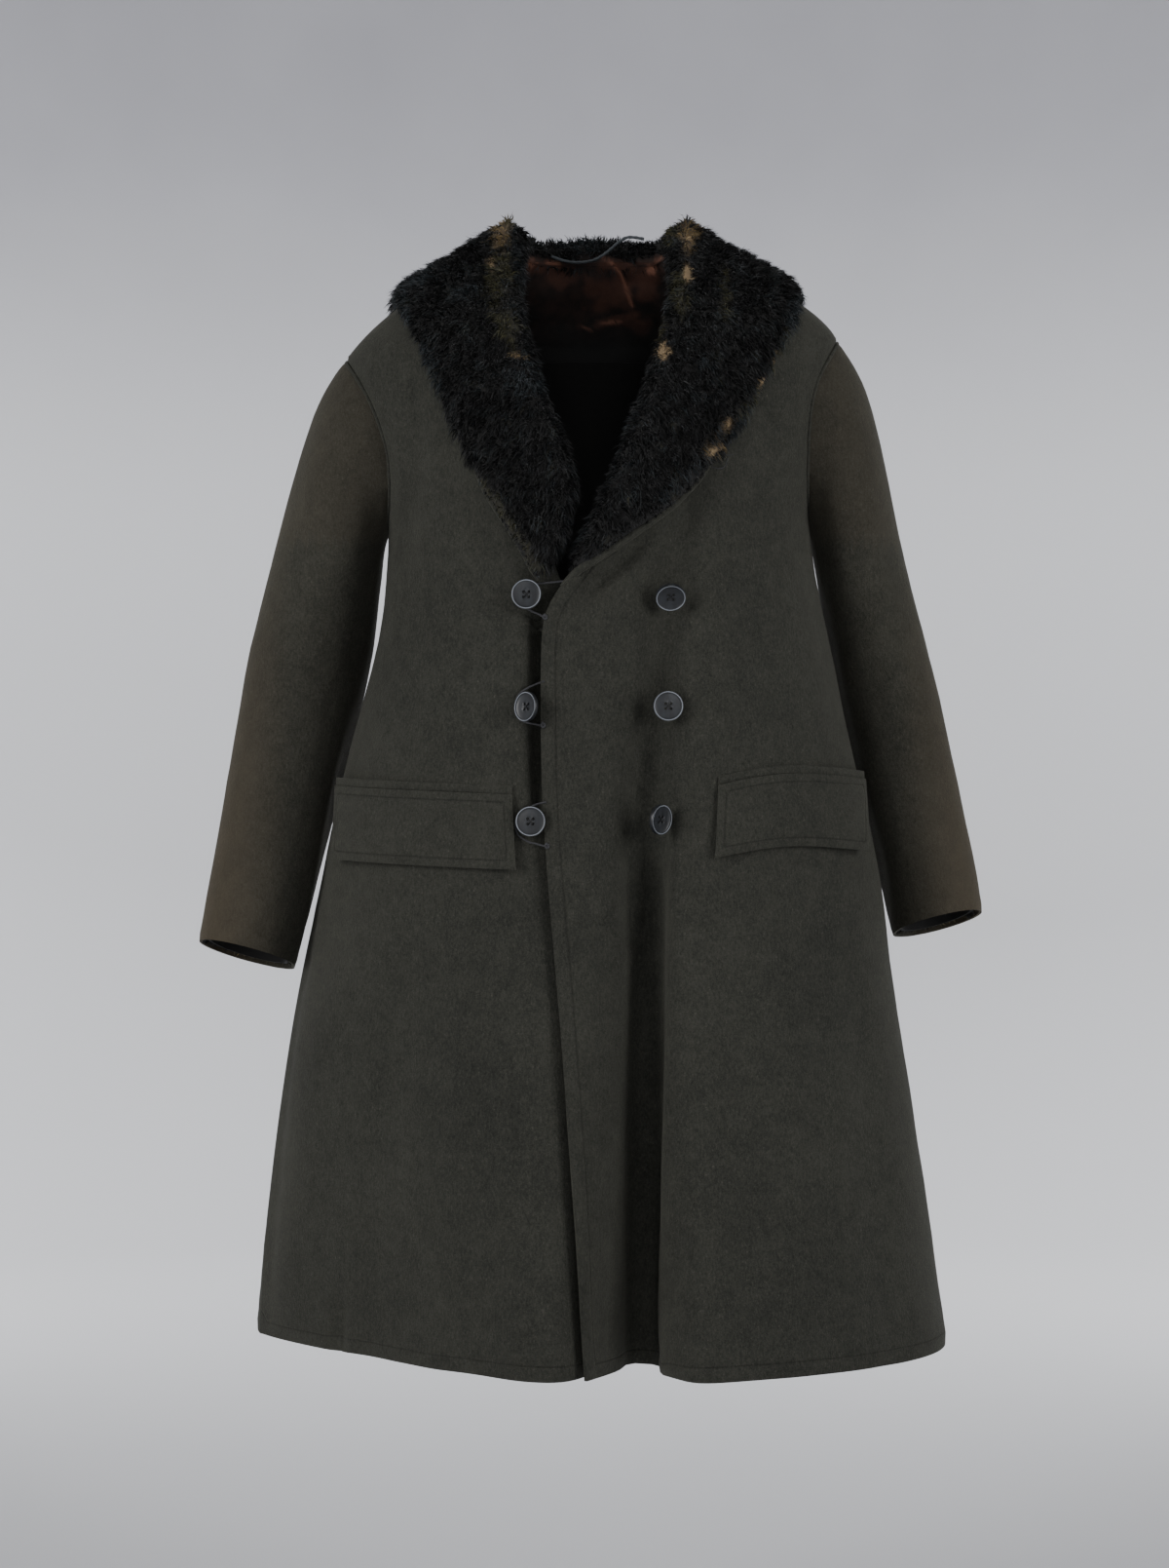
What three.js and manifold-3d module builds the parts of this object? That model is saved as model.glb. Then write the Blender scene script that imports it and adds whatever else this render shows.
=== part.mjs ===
// A long double-breasted winter overcoat with a fur shawl collar, filled out as it is worn, and empty.
// Millimetres. +Z is up, the fronts face -Y, and +X is on the wearer's left. The origin lies between the
// shoulders at the base of the neck. Right and left are the wearer's.
import * as THREE from "three";
import { mergeVertices } from "three/addons/utils/BufferGeometryUtils.js";
import Module from "manifold-3d";

const wasm = await Module();
wasm.setup();

// Driving dimensions
const CLOTH = 3; // heavy fulled wool
const SEAM = 0.3; // gap between two sewn pieces
const HEM_Z = -1046;
const TOP_Z = 42; // top edge of the cloth at the neck
const FUR = 16; // height of the collar's fur over the cloth
const COLLAR_LIFT = 3.4; // how far the collar's underside lies off the cloth between its edges
const COLLAR_SEAT = 1.0; // and at its edge and its roll
const UNDERLAP_DEPTH = 14; // how far the right front lies behind the left one
const BUTTON_RADIUS = 14.5;
const BUTTON_NECK = 3.6;
const BUTTON_PLATE = 4.2;
const BUTTON_SINK = 0.2; // the cloth gives this much under a button
const CORD = 2.4; // button loops
const RIGHT = -1;
const LEFT = 1;

// The body's level sections: half widths to each side, depths to the front and back, where the widest
// point lies in Y, and how boxy the front quarter is (2 is an ellipse, less is more pointed).
const SECTIONS = [
  { z: 45, right: 92, left: 95, front: 30, back: 62, midRight: 8, midLeft: 8, boxRight: 2.0, boxLeft: 2.0 },
  { z: 18, right: 140, left: 152, front: 62, back: 80, midRight: 6, midLeft: 6, boxRight: 2.1, boxLeft: 2.1 },
  { z: -10, right: 191, left: 204, front: 90, back: 96, midRight: 5, midLeft: 5, boxRight: 2.2, boxLeft: 2.2 },
  { z: -40, right: 225, left: 240, front: 112, back: 108, midRight: 5, midLeft: 5, boxRight: 2.3, boxLeft: 2.3 },
  { z: -65, right: 247, left: 241, front: 125, back: 117, midRight: 5, midLeft: 5, boxRight: 2.3, boxLeft: 2.3 },
  { z: -95, right: 240, left: 233, front: 136, back: 124, midRight: 5, midLeft: 5, boxRight: 2.3, boxLeft: 2.3 },
  { z: -130, right: 229, left: 228, front: 144, back: 128, midRight: 5, midLeft: 5, boxRight: 2.3, boxLeft: 2.3 },
  { z: -165, right: 217, left: 223, front: 150, back: 131, midRight: 5, midLeft: 5, boxRight: 2.3, boxLeft: 2.3 },
  { z: -200, right: 210, left: 216, front: 154, back: 133, midRight: 5, midLeft: 5, boxRight: 2.3, boxLeft: 2.3 },
  { z: -240, right: 205, left: 213, front: 157, back: 135, midRight: 5, midLeft: 5, boxRight: 2.3, boxLeft: 2.3 },
  { z: -340, right: 214, left: 232, front: 163, back: 140, midRight: 12, midLeft: 5, boxRight: 2.3, boxLeft: 2.3 },
  { z: -485, right: 254, left: 263, front: 170, back: 152, midRight: 25, midLeft: 8, boxRight: 2.1, boxLeft: 2.3 },
  { z: -563, right: 269, left: 284, front: 178, back: 160, midRight: 35, midLeft: 10, boxRight: 2.0, boxLeft: 2.2 },
  { z: -680, right: 297, left: 298, front: 192, back: 175, midRight: 52, midLeft: 12, boxRight: 1.8, boxLeft: 2.1 },
  { z: -777, right: 315, left: 313, front: 203, back: 187, midRight: 66, midLeft: 14, boxRight: 1.65, boxLeft: 2.05 },
  { z: -873, right: 332, left: 329, front: 215, back: 199, midRight: 80, midLeft: 16, boxRight: 1.5, boxLeft: 2.0 },
  { z: -970, right: 347, left: 343, front: 228, back: 212, midRight: 95, midLeft: 18, boxRight: 1.4, boxLeft: 2.0 },
  { z: -1046, right: 356, left: 352, front: 238, back: 222, midRight: 105, midLeft: 20, boxRight: 1.3, boxLeft: 2.0 },
];
const BACK_BOX = 2.2;

// The largest folds: in which face, where they run at the hem and where they start, how deep they are at
// the hem (inwards is positive), how far they spread to each side, and how fast they grow on the way down.
const FOLDS = [
  { face: "front", hemX: 50, topX: 64, top: -215, depth: 116, spreadLow: 40, spreadHigh: 17, growth: 1.7 },
  { face: "front", hemX: 104, topX: 120, top: -330, depth: -10, spreadLow: 22, spreadHigh: 60, growth: 1.2 },
  { face: "front", hemX: -62, topX: -90, top: -480, depth: -22, spreadLow: 45, spreadHigh: 36, growth: 1.2 },
  { face: "back", hemX: -150, topX: -80, top: -360, depth: 46, spreadLow: 40, spreadHigh: 52, growth: 1.4 },
  { face: "back", hemX: 135, topX: 90, top: -330, depth: 54, spreadLow: 48, spreadHigh: 38, growth: 1.4 },
  { face: "back", hemX: -8, topX: 0, top: -420, depth: -26, spreadLow: 55, spreadHigh: 60, growth: 1.3 },
];

// Edges of the two fronts, seen from the front: the turned lapel above, the front edge below.
const EDGE_LEFT = [
  { z: 45, x: 83 }, { z: 0, x: 85 }, { z: -43, x: 77 }, { z: -79, x: 66 }, { z: -113, x: 58 },
  { z: -150, x: 44 }, { z: -179, x: 33 }, { z: -209, x: 21 }, { z: -236, x: 9 }, { z: -262, x: -4 },
  { z: -290, x: -21 }, { z: -299, x: -32 }, { z: -316, x: -43 }, { z: -336, x: -50 }, { z: -400, x: -51.5 },
  { z: -510, x: -50 }, { z: -623, x: -41 }, { z: -724, x: -32 }, { z: -831, x: -24 }, { z: -921, x: -15.5 },
  { z: -1011, x: -10 }, { z: -1046, x: -7 },
];
const EDGE_RIGHT = [
  { z: 45, x: -82 }, { z: 0, x: -84 }, { z: -50, x: -76 }, { z: -77, x: -70 }, { z: -113, x: -59 },
  { z: -141, x: -48 }, { z: -169, x: -37 }, { z: -196, x: -31 }, { z: -225, x: -31 }, { z: -262, x: -37 },
  { z: -290, x: -46 }, { z: -304, x: -44 }, { z: -316, x: -18 }, { z: -330, x: 28 }, { z: -347, x: 52 },
  { z: -500, x: 58 }, { z: -1046, x: 28 },
];

// Armholes: shoulder tip, underarm, and the loop's middle and half depth in Y.
const ARMHOLE = {
  [RIGHT]: { tip: -65, under: -240, mid: 5, halfDepth: 68 },
  [LEFT]: { tip: -46, under: -228, mid: 5, halfDepth: 68 },
};
const SIDE_SEAM = [{ z: -228, y: 5 }, { z: -340, y: 14 }, { z: -700, y: 42 }, { z: -1046, y: 66 }];

// Sleeves: the outer and the inner line seen from the front, the middle in Y, and half the depth.
const SLEEVE = {
  [RIGHT]: [
    { outX: 247, outZ: -65, inX: 205, inZ: -240, mid: 5, halfDepth: 68 },
    { outX: 272, outZ: -98, inX: 209, inZ: -259, mid: 12, halfDepth: 73 },
    { outX: 294, outZ: -156, inX: 213, inZ: -287, mid: 22, halfDepth: 74 },
    { outX: 313, outZ: -220, inX: 217, inZ: -325, mid: 32, halfDepth: 71 },
    { outX: 332, outZ: -288, inX: 222, inZ: -370, mid: 40, halfDepth: 68 },
    { outX: 347, outZ: -347, inX: 231, inZ: -420, mid: 44, halfDepth: 66 },
    { outX: 360, outZ: -416, inX: 243, inZ: -472, mid: 44, halfDepth: 64 },
    { outX: 370, outZ: -485, inX: 256, inZ: -530, mid: 41, halfDepth: 60 },
    { outX: 382, outZ: -553, inX: 272, inZ: -590, mid: 36, halfDepth: 57 },
    { outX: 392, outZ: -612, inX: 285, inZ: -642, mid: 30, halfDepth: 54 },
    { outX: 398, outZ: -647, inX: 296, inZ: -673, mid: 26, halfDepth: 52 },
  ],
  [LEFT]: [
    { outX: 244, outZ: -46, inX: 212, inZ: -228, mid: 5, halfDepth: 68 },
    { outX: 268, outZ: -84, inX: 216, inZ: -247, mid: 12, halfDepth: 73 },
    { outX: 286, outZ: -142, inX: 220, inZ: -275, mid: 22, halfDepth: 74 },
    { outX: 299, outZ: -206, inX: 225, inZ: -312, mid: 32, halfDepth: 71 },
    { outX: 314, outZ: -268, inX: 232, inZ: -356, mid: 39, halfDepth: 68 },
    { outX: 330, outZ: -330, inX: 241, inZ: -404, mid: 43, halfDepth: 66 },
    { outX: 347, outZ: -394, inX: 251, inZ: -452, mid: 44, halfDepth: 64 },
    { outX: 361, outZ: -458, inX: 263, inZ: -502, mid: 42, halfDepth: 61 },
    { outX: 373, outZ: -522, inX: 277, inZ: -556, mid: 38, halfDepth: 58 },
    { outX: 386, outZ: -580, inX: 288, inZ: -606, mid: 32, halfDepth: 55 },
    { outX: 391, outZ: -618, inX: 298, inZ: -640, mid: 28, halfDepth: 52 },
  ],
};
const SLEEVE_STEPS = 18; // points round a sleeve
const SLEEVE_SEAM_STEP = 6; // the seams lie this many points from the top line
const CUFF_TILT = 11; // the cuff's front edge is this much higher than its middle
const CUFF_LINING_DEPTH = 60;

// Collar stations from the lapel's tip up round the shoulder to the centre back: where the collar turns
// over the cloth's edge and where its outer edge lies, as X or as an angle from the front, and as Z.
const COLLAR = {
  [RIGHT]: [
    { rollX: -44, rollZ: -286, edgeX: -53, edgeZ: -295 },
    { rollX: -38, rollZ: -262, edgeX: -66, edgeZ: -278 },
    { rollX: -32, rollZ: -226, edgeX: -86, edgeZ: -243 },
    { rollX: -32, rollZ: -196, edgeX: -107, edgeZ: -206 },
    { rollX: -38, rollZ: -168, edgeX: -122, edgeZ: -172 },
    { rollX: -48, rollZ: -141, edgeX: -138, edgeZ: -136 },
    { rollX: -60, rollZ: -110, edgeX: -153, edgeZ: -100 },
    { rollX: -73, rollZ: -65, edgeX: -167, edgeZ: -66 },
    { rollX: -83, rollZ: -15, edgeX: -182, edgeZ: -36 },
    { rollTurn: -72, rollZ: TOP_Z, edgeTurn: -88, edgeZ: -10 },
    { rollTurn: -112, rollZ: TOP_Z, edgeTurn: -106, edgeZ: -36 },
    { rollTurn: -138, rollZ: TOP_Z, edgeTurn: -128, edgeZ: -72 },
    { rollTurn: -160, rollZ: TOP_Z, edgeTurn: -153, edgeZ: -92 },
    { rollTurn: -179.8, rollZ: TOP_Z, edgeTurn: -179.9, edgeZ: -98 },
  ],
  [LEFT]: [
    { rollX: -20, rollZ: -289, edgeX: -14, edgeZ: -292 },
    { rollX: -6, rollZ: -264, edgeX: 12, edgeZ: -270 },
    { rollX: 10, rollZ: -236, edgeX: 38, edgeZ: -252 },
    { rollX: 22, rollZ: -208, edgeX: 64, edgeZ: -234 },
    { rollX: 34, rollZ: -178, edgeX: 92, edgeZ: -208 },
    { rollX: 45, rollZ: -149, edgeX: 119, edgeZ: -174 },
    { rollX: 59, rollZ: -112, edgeX: 149, edgeZ: -126 },
    { rollX: 67, rollZ: -78, edgeX: 169, edgeZ: -88 },
    { rollX: 78, rollZ: -42, edgeX: 184, edgeZ: -56 },
    { rollX: 86, rollZ: 0, edgeX: 198, edgeZ: -26 },
    { rollTurn: 74, rollZ: TOP_Z, edgeTurn: 88, edgeZ: -4 },
    { rollTurn: 112, rollZ: TOP_Z, edgeTurn: 106, edgeZ: -32 },
    { rollTurn: 138, rollZ: TOP_Z, edgeTurn: 128, edgeZ: -70 },
    { rollTurn: 160, rollZ: TOP_Z, edgeTurn: 153, edgeZ: -92 },
    { rollTurn: 179.8, rollZ: TOP_Z, edgeTurn: 179.9, edgeZ: -98 },
  ],
};
const BACK_ROLL = 26; // how high the collar stands over the cloth's edge at the back
const STAND_FUR = 11; // height of the fur on the stand inside the back neck

// Buttons: where their middles lie, seen from the front.
const BUTTONS = {
  [RIGHT]: [{ x: -64, z: -309 }, { x: -64, z: -416 }, { x: -60, z: -525 }],
  [LEFT]: [{ x: 72, z: -312 }, { x: 72, z: -415 }, { x: 69, z: -523 }],
};

// Pocket flaps: the ends of the top edge in X, its height, how much the middle of it bows up, and the drop.
const FLAP = {
  [RIGHT]: { nearX: -78, farX: -247, nearZ: -499, farZ: -492, bow: 0, drop: 72, welt: 8 },
  [LEFT]: { nearX: 117, farX: 258, nearZ: -490, farZ: -486, bow: 9, drop: 70, welt: 8 },
};
const FLAP_CLOTH = 3;

// Value of a named column at a height, on a smooth curve through the table's rows.
function along(table, column, at, key = "z") {
  const sign = table[0][key] < table[table.length - 1][key] ? 1 : -1;
  const last = table.length - 1;
  if ((at - table[0][key]) * sign <= 0) return table[0][column];
  if ((at - table[last][key]) * sign >= 0) return table[last][column];
  let i = 0;
  while ((at - table[i + 1][key]) * sign > 0) i += 1;
  const [a, b] = [table[i], table[i + 1]];
  const span = b[key] - a[key];
  const slope = (p, q) => (q[column] - p[column]) / (q[key] - p[key]);
  const slopeA = i > 0 ? slope(table[i - 1], b) : slope(a, b);
  const slopeB = i + 1 < last ? slope(a, table[i + 2]) : slope(a, b);
  const t = (at - a[key]) / span;
  return (
    a[column] * (2 * t ** 3 - 3 * t ** 2 + 1) +
    slopeA * span * (t ** 3 - 2 * t ** 2 + t) +
    b[column] * (3 * t ** 2 - 2 * t ** 3) +
    slopeB * span * (t ** 3 - t ** 2)
  );
}

function foldDepth(face, x, z) {
  let sum = 0;
  for (const fold of FOLDS) {
    if (fold.face !== face || z >= fold.top) continue;
    const down = (fold.top - z) / (fold.top - HEM_Z);
    const middle = fold.topX + (fold.hemX - fold.topX) * down;
    const spread = x < middle ? fold.spreadLow : fold.spreadHigh;
    sum += fold.depth * down ** fold.growth * Math.exp(-(((x - middle) / spread) ** 2));
  }
  return sum;
}

// A section's measures on one side at a height.
function sectionAt(side, z) {
  const name = side < 0 ? "Right" : "Left";
  return {
    half: along(SECTIONS, name.toLowerCase(), z),
    front: along(SECTIONS, "front", z),
    back: along(SECTIONS, "back", z),
    mid: along(SECTIONS, `mid${name}`, z),
    box: along(SECTIONS, `box${name}`, z),
  };
}

// A point of the cloth's outer face: the angle goes from the centre front (0) to the back, and is
// negative on the wearer's right.
function bodyPoint(angle, z) {
  const side = angle < 0 ? RIGHT : LEFT;
  const s = sectionAt(side, z);
  const across = Math.abs(Math.sin(angle));
  const ahead = Math.cos(angle);
  const depth = ahead > 0 ? s.front + s.mid : s.back - s.mid;
  const box = ahead > 0 ? s.box : BACK_BOX;
  const radius = ((across / s.half) ** box + (Math.abs(ahead) / depth) ** box) ** (-1 / box);
  const x = side * radius * across;
  const fade = Math.min(1, Math.abs(ahead) / 0.35);
  const fold = foldDepth(ahead > 0 ? "front" : "back", x, z) * fade * (ahead > 0 ? 1 : -1);
  return new THREE.Vector3(x, s.mid - radius * ahead + fold, z);
}

function bodyNormal(angle, z) {
  const turn = 0.01;
  const rise = 2;
  const round = bodyPoint(angle + turn, z).sub(bodyPoint(angle - turn, z));
  const up = bodyPoint(angle, z + rise).sub(bodyPoint(angle, z - rise));
  return round.cross(up).normalize();
}

// A point that lies the given distance off the outer face, outwards.
function offBody(angle, z, distance) {
  return bodyPoint(angle, z).addScaledVector(bodyNormal(angle, z), distance);
}

// The angle where the section reaches a given X at the front, or a given Y on one side.
function angleAtX(x, z) {
  let [low, high] = [-Math.PI / 2, Math.PI / 2];
  for (let i = 0; i < 40; i += 1) {
    const middle = (low + high) / 2;
    if (bodyPoint(middle, z).x < x) low = middle;
    else high = middle;
  }
  return (low + high) / 2;
}

function angleAtY(side, y, z) {
  let [low, high] = [0, Math.PI];
  for (let i = 0; i < 40; i += 1) {
    const middle = (low + high) / 2;
    if (bodyPoint(side * middle, z).y < y) low = middle;
    else high = middle;
  }
  return (side * (low + high)) / 2;
}

const smooth = (t) => {
  const c = Math.min(1, Math.max(0, t));
  return c * c * (3 - 2 * c);
};
const mix = (a, b, t) => a + (b - a) * t;

// A closed wall between two grids of points. A round grid's columns close on themselves.
function wall(outer, inner, round = false) {
  const rows = outer.length;
  const columns = outer[0].length;
  const points = [...outer.flat(), ...inner.flat()];
  const at = (layer, row, column) => layer * rows * columns + row * columns + (column % columns);
  const faces = [];
  const quad = (a, b, c, d) => faces.push(a, b, c, a, c, d);
  for (let row = 0; row < rows - 1; row += 1) {
    for (let column = 0; column < (round ? columns : columns - 1); column += 1) {
      quad(at(0, row, column), at(0, row, column + 1), at(0, row + 1, column + 1), at(0, row + 1, column));
      quad(at(1, row, column), at(1, row + 1, column), at(1, row + 1, column + 1), at(1, row, column + 1));
    }
    if (!round) {
      quad(at(0, row, 0), at(0, row + 1, 0), at(1, row + 1, 0), at(1, row, 0));
      const end = columns - 1;
      quad(at(0, row, end), at(1, row, end), at(1, row + 1, end), at(0, row + 1, end));
    }
  }
  for (let column = 0; column < (round ? columns : columns - 1); column += 1) {
    const top = rows - 1;
    quad(at(0, 0, column), at(1, 0, column), at(1, 0, column + 1), at(0, 0, column + 1));
    quad(at(0, top, column), at(0, top, column + 1), at(1, top, column + 1), at(1, top, column));
  }
  return facingOut(points, faces);
}

// A closed solid through rings of points, each ring closed, with flat ends.
function loft(rings) {
  const count = rings[0].length;
  const faces = [];
  for (let ring = 0; ring < rings.length - 1; ring += 1) {
    for (let i = 0; i < count; i += 1) {
      const [a, b] = [ring * count + i, ring * count + ((i + 1) % count)];
      faces.push(a, b, b + count, a, b + count, a + count);
    }
  }
  for (const [ring, flip] of [[0, true], [rings.length - 1, false]]) {
    const flat = flattened(rings[ring]);
    for (const [a, b, c] of THREE.ShapeUtils.triangulateShape(flat, [])) {
      const face = [a, b, c].map((i) => ring * count + i);
      const turns = THREE.ShapeUtils.isClockWise(flat) ? !flip : flip;
      faces.push(...(turns ? face.reverse() : face));
    }
  }
  return facingOut(rings.flat(), faces);
}

// A ring's points in the plane that fits it.
function flattened(ring) {
  const centre = ring.reduce((sum, p) => sum.add(p), new THREE.Vector3()).divideScalar(ring.length);
  const normal = new THREE.Vector3();
  ring.forEach((p, i) => {
    const next = ring[(i + 1) % ring.length];
    normal.add(p.clone().sub(centre).cross(next.clone().sub(centre)));
  });
  normal.normalize();
  const first = ring[0].clone().sub(centre).projectOnPlane(normal).normalize();
  const second = normal.clone().cross(first);
  return ring.map((p) => {
    const arm = p.clone().sub(centre);
    return new THREE.Vector2(arm.dot(first), arm.dot(second));
  });
}

function facingOut(points, faces) {
  let volume = 0;
  for (let i = 0; i < faces.length; i += 3) {
    const [a, b, c] = [points[faces[i]], points[faces[i + 1]], points[faces[i + 2]]];
    volume += a.dot(b.clone().cross(c));
  }
  const geometry = new THREE.BufferGeometry().setFromPoints(points);
  geometry.setIndex(volume < 0 ? [...faces].reverse() : faces);
  geometry.computeVertexNormals();
  return geometry;
}

function solidOf(geometry) {
  const bare = geometry.clone();
  bare.deleteAttribute("normal");
  bare.deleteAttribute("uv");
  const merged = mergeVertices(bare, 1e-3);
  return new wasm.Manifold(
    new wasm.Mesh({
      numProp: 3,
      vertProperties: merged.attributes.position.array,
      triVerts: new Uint32Array(merged.index.array),
    }),
  );
}

function geometryOf(solid) {
  const { vertProperties, triVerts } = solid.getMesh();
  const geometry = new THREE.BufferGeometry();
  geometry.setAttribute("position", new THREE.BufferAttribute(vertProperties, 3));
  geometry.setIndex([...triVerts]);
  geometry.computeVertexNormals();
  return geometry;
}

// One solid without others, and without any crumb that the cut leaves.
function cutBy(geometry, ...others) {
  const solid = others.reduce((rest, other) => rest.subtract(solidOf(other)), solidOf(geometry));
  const pieces = solid.decompose().sort((a, b) => b.volume() - a.volume());
  return geometryOf(pieces[0]);
}

// Levels of the cloth from the hem to the neck on one side. The armhole's levels follow its loop.
const HEM_TO_UNDERARM = [0, 0.05, 0.13, 0.22, 0.31, 0.4, 0.49, 0.58, 0.67, 0.75, 0.82, 0.865, 0.885, 0.91, 0.955];
const ARMHOLE_STEPS = SLEEVE_STEPS / 2;
const SHOULDER_STEPS = 4;

function armholeZ(side, step) {
  const { tip, under } = ARMHOLE[side];
  return (tip + under) / 2 + ((tip - under) / 2) * Math.cos((Math.PI * step) / ARMHOLE_STEPS);
}

function levels(side) {
  const { tip, under } = ARMHOLE[side];
  const low = HEM_TO_UNDERARM.map((share) => ({ z: mix(HEM_Z, under, share) }));
  const arm = [];
  for (let step = ARMHOLE_STEPS; step >= 0; step -= 1) arm.push({ z: armholeZ(side, step), step });
  const high = [];
  for (let i = 1; i <= SHOULDER_STEPS; i += 1) high.push({ z: mix(tip, TOP_Z, i / SHOULDER_STEPS), shoulder: true });
  return [...low, ...arm, ...high];
}

// The angle of the seam that ends a front or the back at a level. In front of an armhole and behind it
// the angles differ.
function seamAngle(side, level, behind) {
  if (level.shoulder) return (side * Math.PI) / 2;
  if (level.step === undefined) return angleAtY(side, along(SIDE_SEAM, "y", level.z), level.z);
  const { mid, halfDepth } = ARMHOLE[side];
  const reach = halfDepth * Math.sin((Math.PI * level.step) / ARMHOLE_STEPS);
  return angleAtY(side, mid + (behind ? reach : -reach), level.z);
}

// Turns an angle by a short way along the cloth.
function shifted(angle, z, distance) {
  return angle + distance / bodyPoint(angle, z).setZ(0).length();
}

// How far the right front dips behind the left front's edge.
function underlap(x, z) {
  const edge = along(EDGE_LEFT, "x", z);
  const below = smooth((-296 - z) / 14);
  return UNDERLAP_DEPTH * below * smooth((x - (edge - 12)) / 11);
}

// A front. With room it is that much larger all round, to cut what it meets.
function frontPanel(side, columns, room = 0) {
  const outer = [];
  const inner = [];
  for (const level of levels(side)) {
    const z = level.z + (level.z === TOP_Z ? room : 0);
    const from = shifted(angleAtX(along(side < 0 ? EDGE_RIGHT : EDGE_LEFT, "x", z), z), z, -side * room);
    const to = shifted(seamAngle(side, level, false), z, side * (room - SEAM / 2));
    const outerRow = [];
    const innerRow = [];
    for (let i = 0; i <= columns; i += 1) {
      const angle = mix(from, to, i / columns);
      const dip = side < 0 ? underlap(bodyPoint(angle, z).x, z) : 0;
      outerRow.push(offBody(angle, z, room - dip));
      innerRow.push(offBody(angle, z, -dip - CLOTH - room));
    }
    outer.push(outerRow);
    inner.push(innerRow);
  }
  return wall(outer, inner);
}

function backPanel(columns, room = 0) {
  const outer = [];
  const inner = [];
  const right = levels(RIGHT);
  const left = levels(LEFT);
  right.forEach((rightLevel, row) => {
    const leftLevel = left[row];
    const from = shifted(seamAngle(RIGHT, rightLevel, true), rightLevel.z, room - SEAM / 2);
    const to = shifted(seamAngle(LEFT, leftLevel, true), leftLevel.z, SEAM / 2 - room);
    const turn = 2 * Math.PI - (to - from);
    const outerRow = [];
    const innerRow = [];
    for (let i = 0; i <= columns; i += 1) {
      const raw = from - (turn * i) / columns;
      const angle = raw < -Math.PI ? raw + 2 * Math.PI : raw;
      const z = mix(rightLevel.z, leftLevel.z, i / columns) + (rightLevel.z === TOP_Z ? room : 0);
      outerRow.push(offBody(angle, z, room));
      innerRow.push(offBody(angle, z, -CLOTH - room));
    }
    outer.push(outerRow);
    inner.push(innerRow);
  });
  return wall(outer, inner);
}

// Keeps a sleeve's point clear of the body's side.
function clearOfBody(point, side, clearance) {
  const s = sectionAt(side, point.z);
  const behind = point.y > s.mid;
  const depth = (behind ? s.back - s.mid : s.front + s.mid) + clearance;
  const box = behind ? BACK_BOX : s.box;
  const share = Math.abs(point.y - s.mid) / depth;
  if (share < 1) {
    const reach = (s.half + clearance) * (1 - share ** box) ** (1 / box);
    if (side * point.x < reach) point.x = side * reach;
  }
  return point;
}

// The rings of a sleeve's outer face, from the armhole to the cuff.
const SLEEVE_RINGS = 12;
function sleeveRings(side) {
  const table = SLEEVE[side].map((row, i) => ({ ...row, at: i }));
  const rings = [];
  for (let ring = 0; ring <= SLEEVE_RINGS; ring += 1) {
    const share = (ring / SLEEVE_RINGS) ** 1.12;
    const at = share * (table.length - 1);
    const value = (column) => along(table, column, at, "at");
    const outside = new THREE.Vector3(side * value("outX"), value("mid"), value("outZ"));
    const inside = new THREE.Vector3(side * value("inX"), value("mid"), value("inZ"));
    const middle = outside.clone().add(inside).multiplyScalar(0.5);
    const arm = outside.clone().sub(middle);
    const points = [];
    for (let step = 0; step < SLEEVE_STEPS; step += 1) {
      const turn = (2 * Math.PI * step) / SLEEVE_STEPS;
      const fuller = middle.clone().addScaledVector(arm, Math.cos(turn));
      fuller.y -= value("halfDepth") * Math.sin(turn);
      fuller.z += CUFF_TILT * Math.sin(turn) * smooth((share - 0.72) / 0.28);
      points.push(clearOfBody(fuller, side, Math.min(6, SEAM + ring * 1.6)));
    }
    rings.push(points);
  }
  // The first ring is the armhole's own loop, and the next ones leave it little by little.
  const loop = [];
  for (let step = 0; step < SLEEVE_STEPS; step += 1) {
    const behind = step > ARMHOLE_STEPS;
    const level = { step: behind ? SLEEVE_STEPS - step : step };
    level.z = armholeZ(side, level.step);
    loop.push(bodyPoint(seamAngle(side, level, behind), level.z));
  }
  const keep = [1, 0.55, 0.2, 0.05];
  keep.forEach((part, ring) => {
    rings[ring].forEach((point, step) => {
      const drift = loop[step].clone().sub(rings[0][step]);
      rings[ring][step] = ring === 0 ? loop[step].clone() : point.addScaledVector(drift, part);
    });
  });
  rings[0].forEach((point, step) => {
    const away = rings[1][step].clone().sub(point).normalize();
    point.addScaledVector(away, SEAM);
  });
  return rings;
}

// Points pushed inwards, square to the sleeve's face.
function sleeveInside(rings, distance) {
  return rings.map((points, ring) =>
    points.map((point, step) => {
      const before = points[(step + SLEEVE_STEPS - 1) % SLEEVE_STEPS];
      const after = points[(step + 1) % SLEEVE_STEPS];
      const up = rings[Math.max(0, ring - 1)][step];
      const down = rings[Math.min(rings.length - 1, ring + 1)][step];
      const normal = after.clone().sub(before).cross(down.clone().sub(up)).normalize();
      const middle = points.reduce((sum, p) => sum.add(p), new THREE.Vector3()).divideScalar(points.length);
      if (normal.dot(point.clone().sub(middle)) > 0) normal.negate();
      return point.clone().addScaledVector(normal, distance);
    }),
  );
}

// The columns of a sleeve from one seam to the other, drawn back from both by half a seam gap.
function sleevePiece(side, first, last) {
  const rings = sleeveRings(side);
  const inside = sleeveInside(rings, CLOTH);
  const pick = (points) => {
    const row = [];
    for (let step = first; step <= last; step += 1) {
      row.push(points[(step + SLEEVE_STEPS) % SLEEVE_STEPS].clone());
    }
    for (const [end, next] of [[0, 1], [row.length - 1, row.length - 2]]) {
      const along = row[next].clone().sub(row[end]).normalize();
      row[end].addScaledVector(along, SEAM / 2);
    }
    return row;
  };
  return wall(rings.map(pick), inside.map(pick));
}

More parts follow.
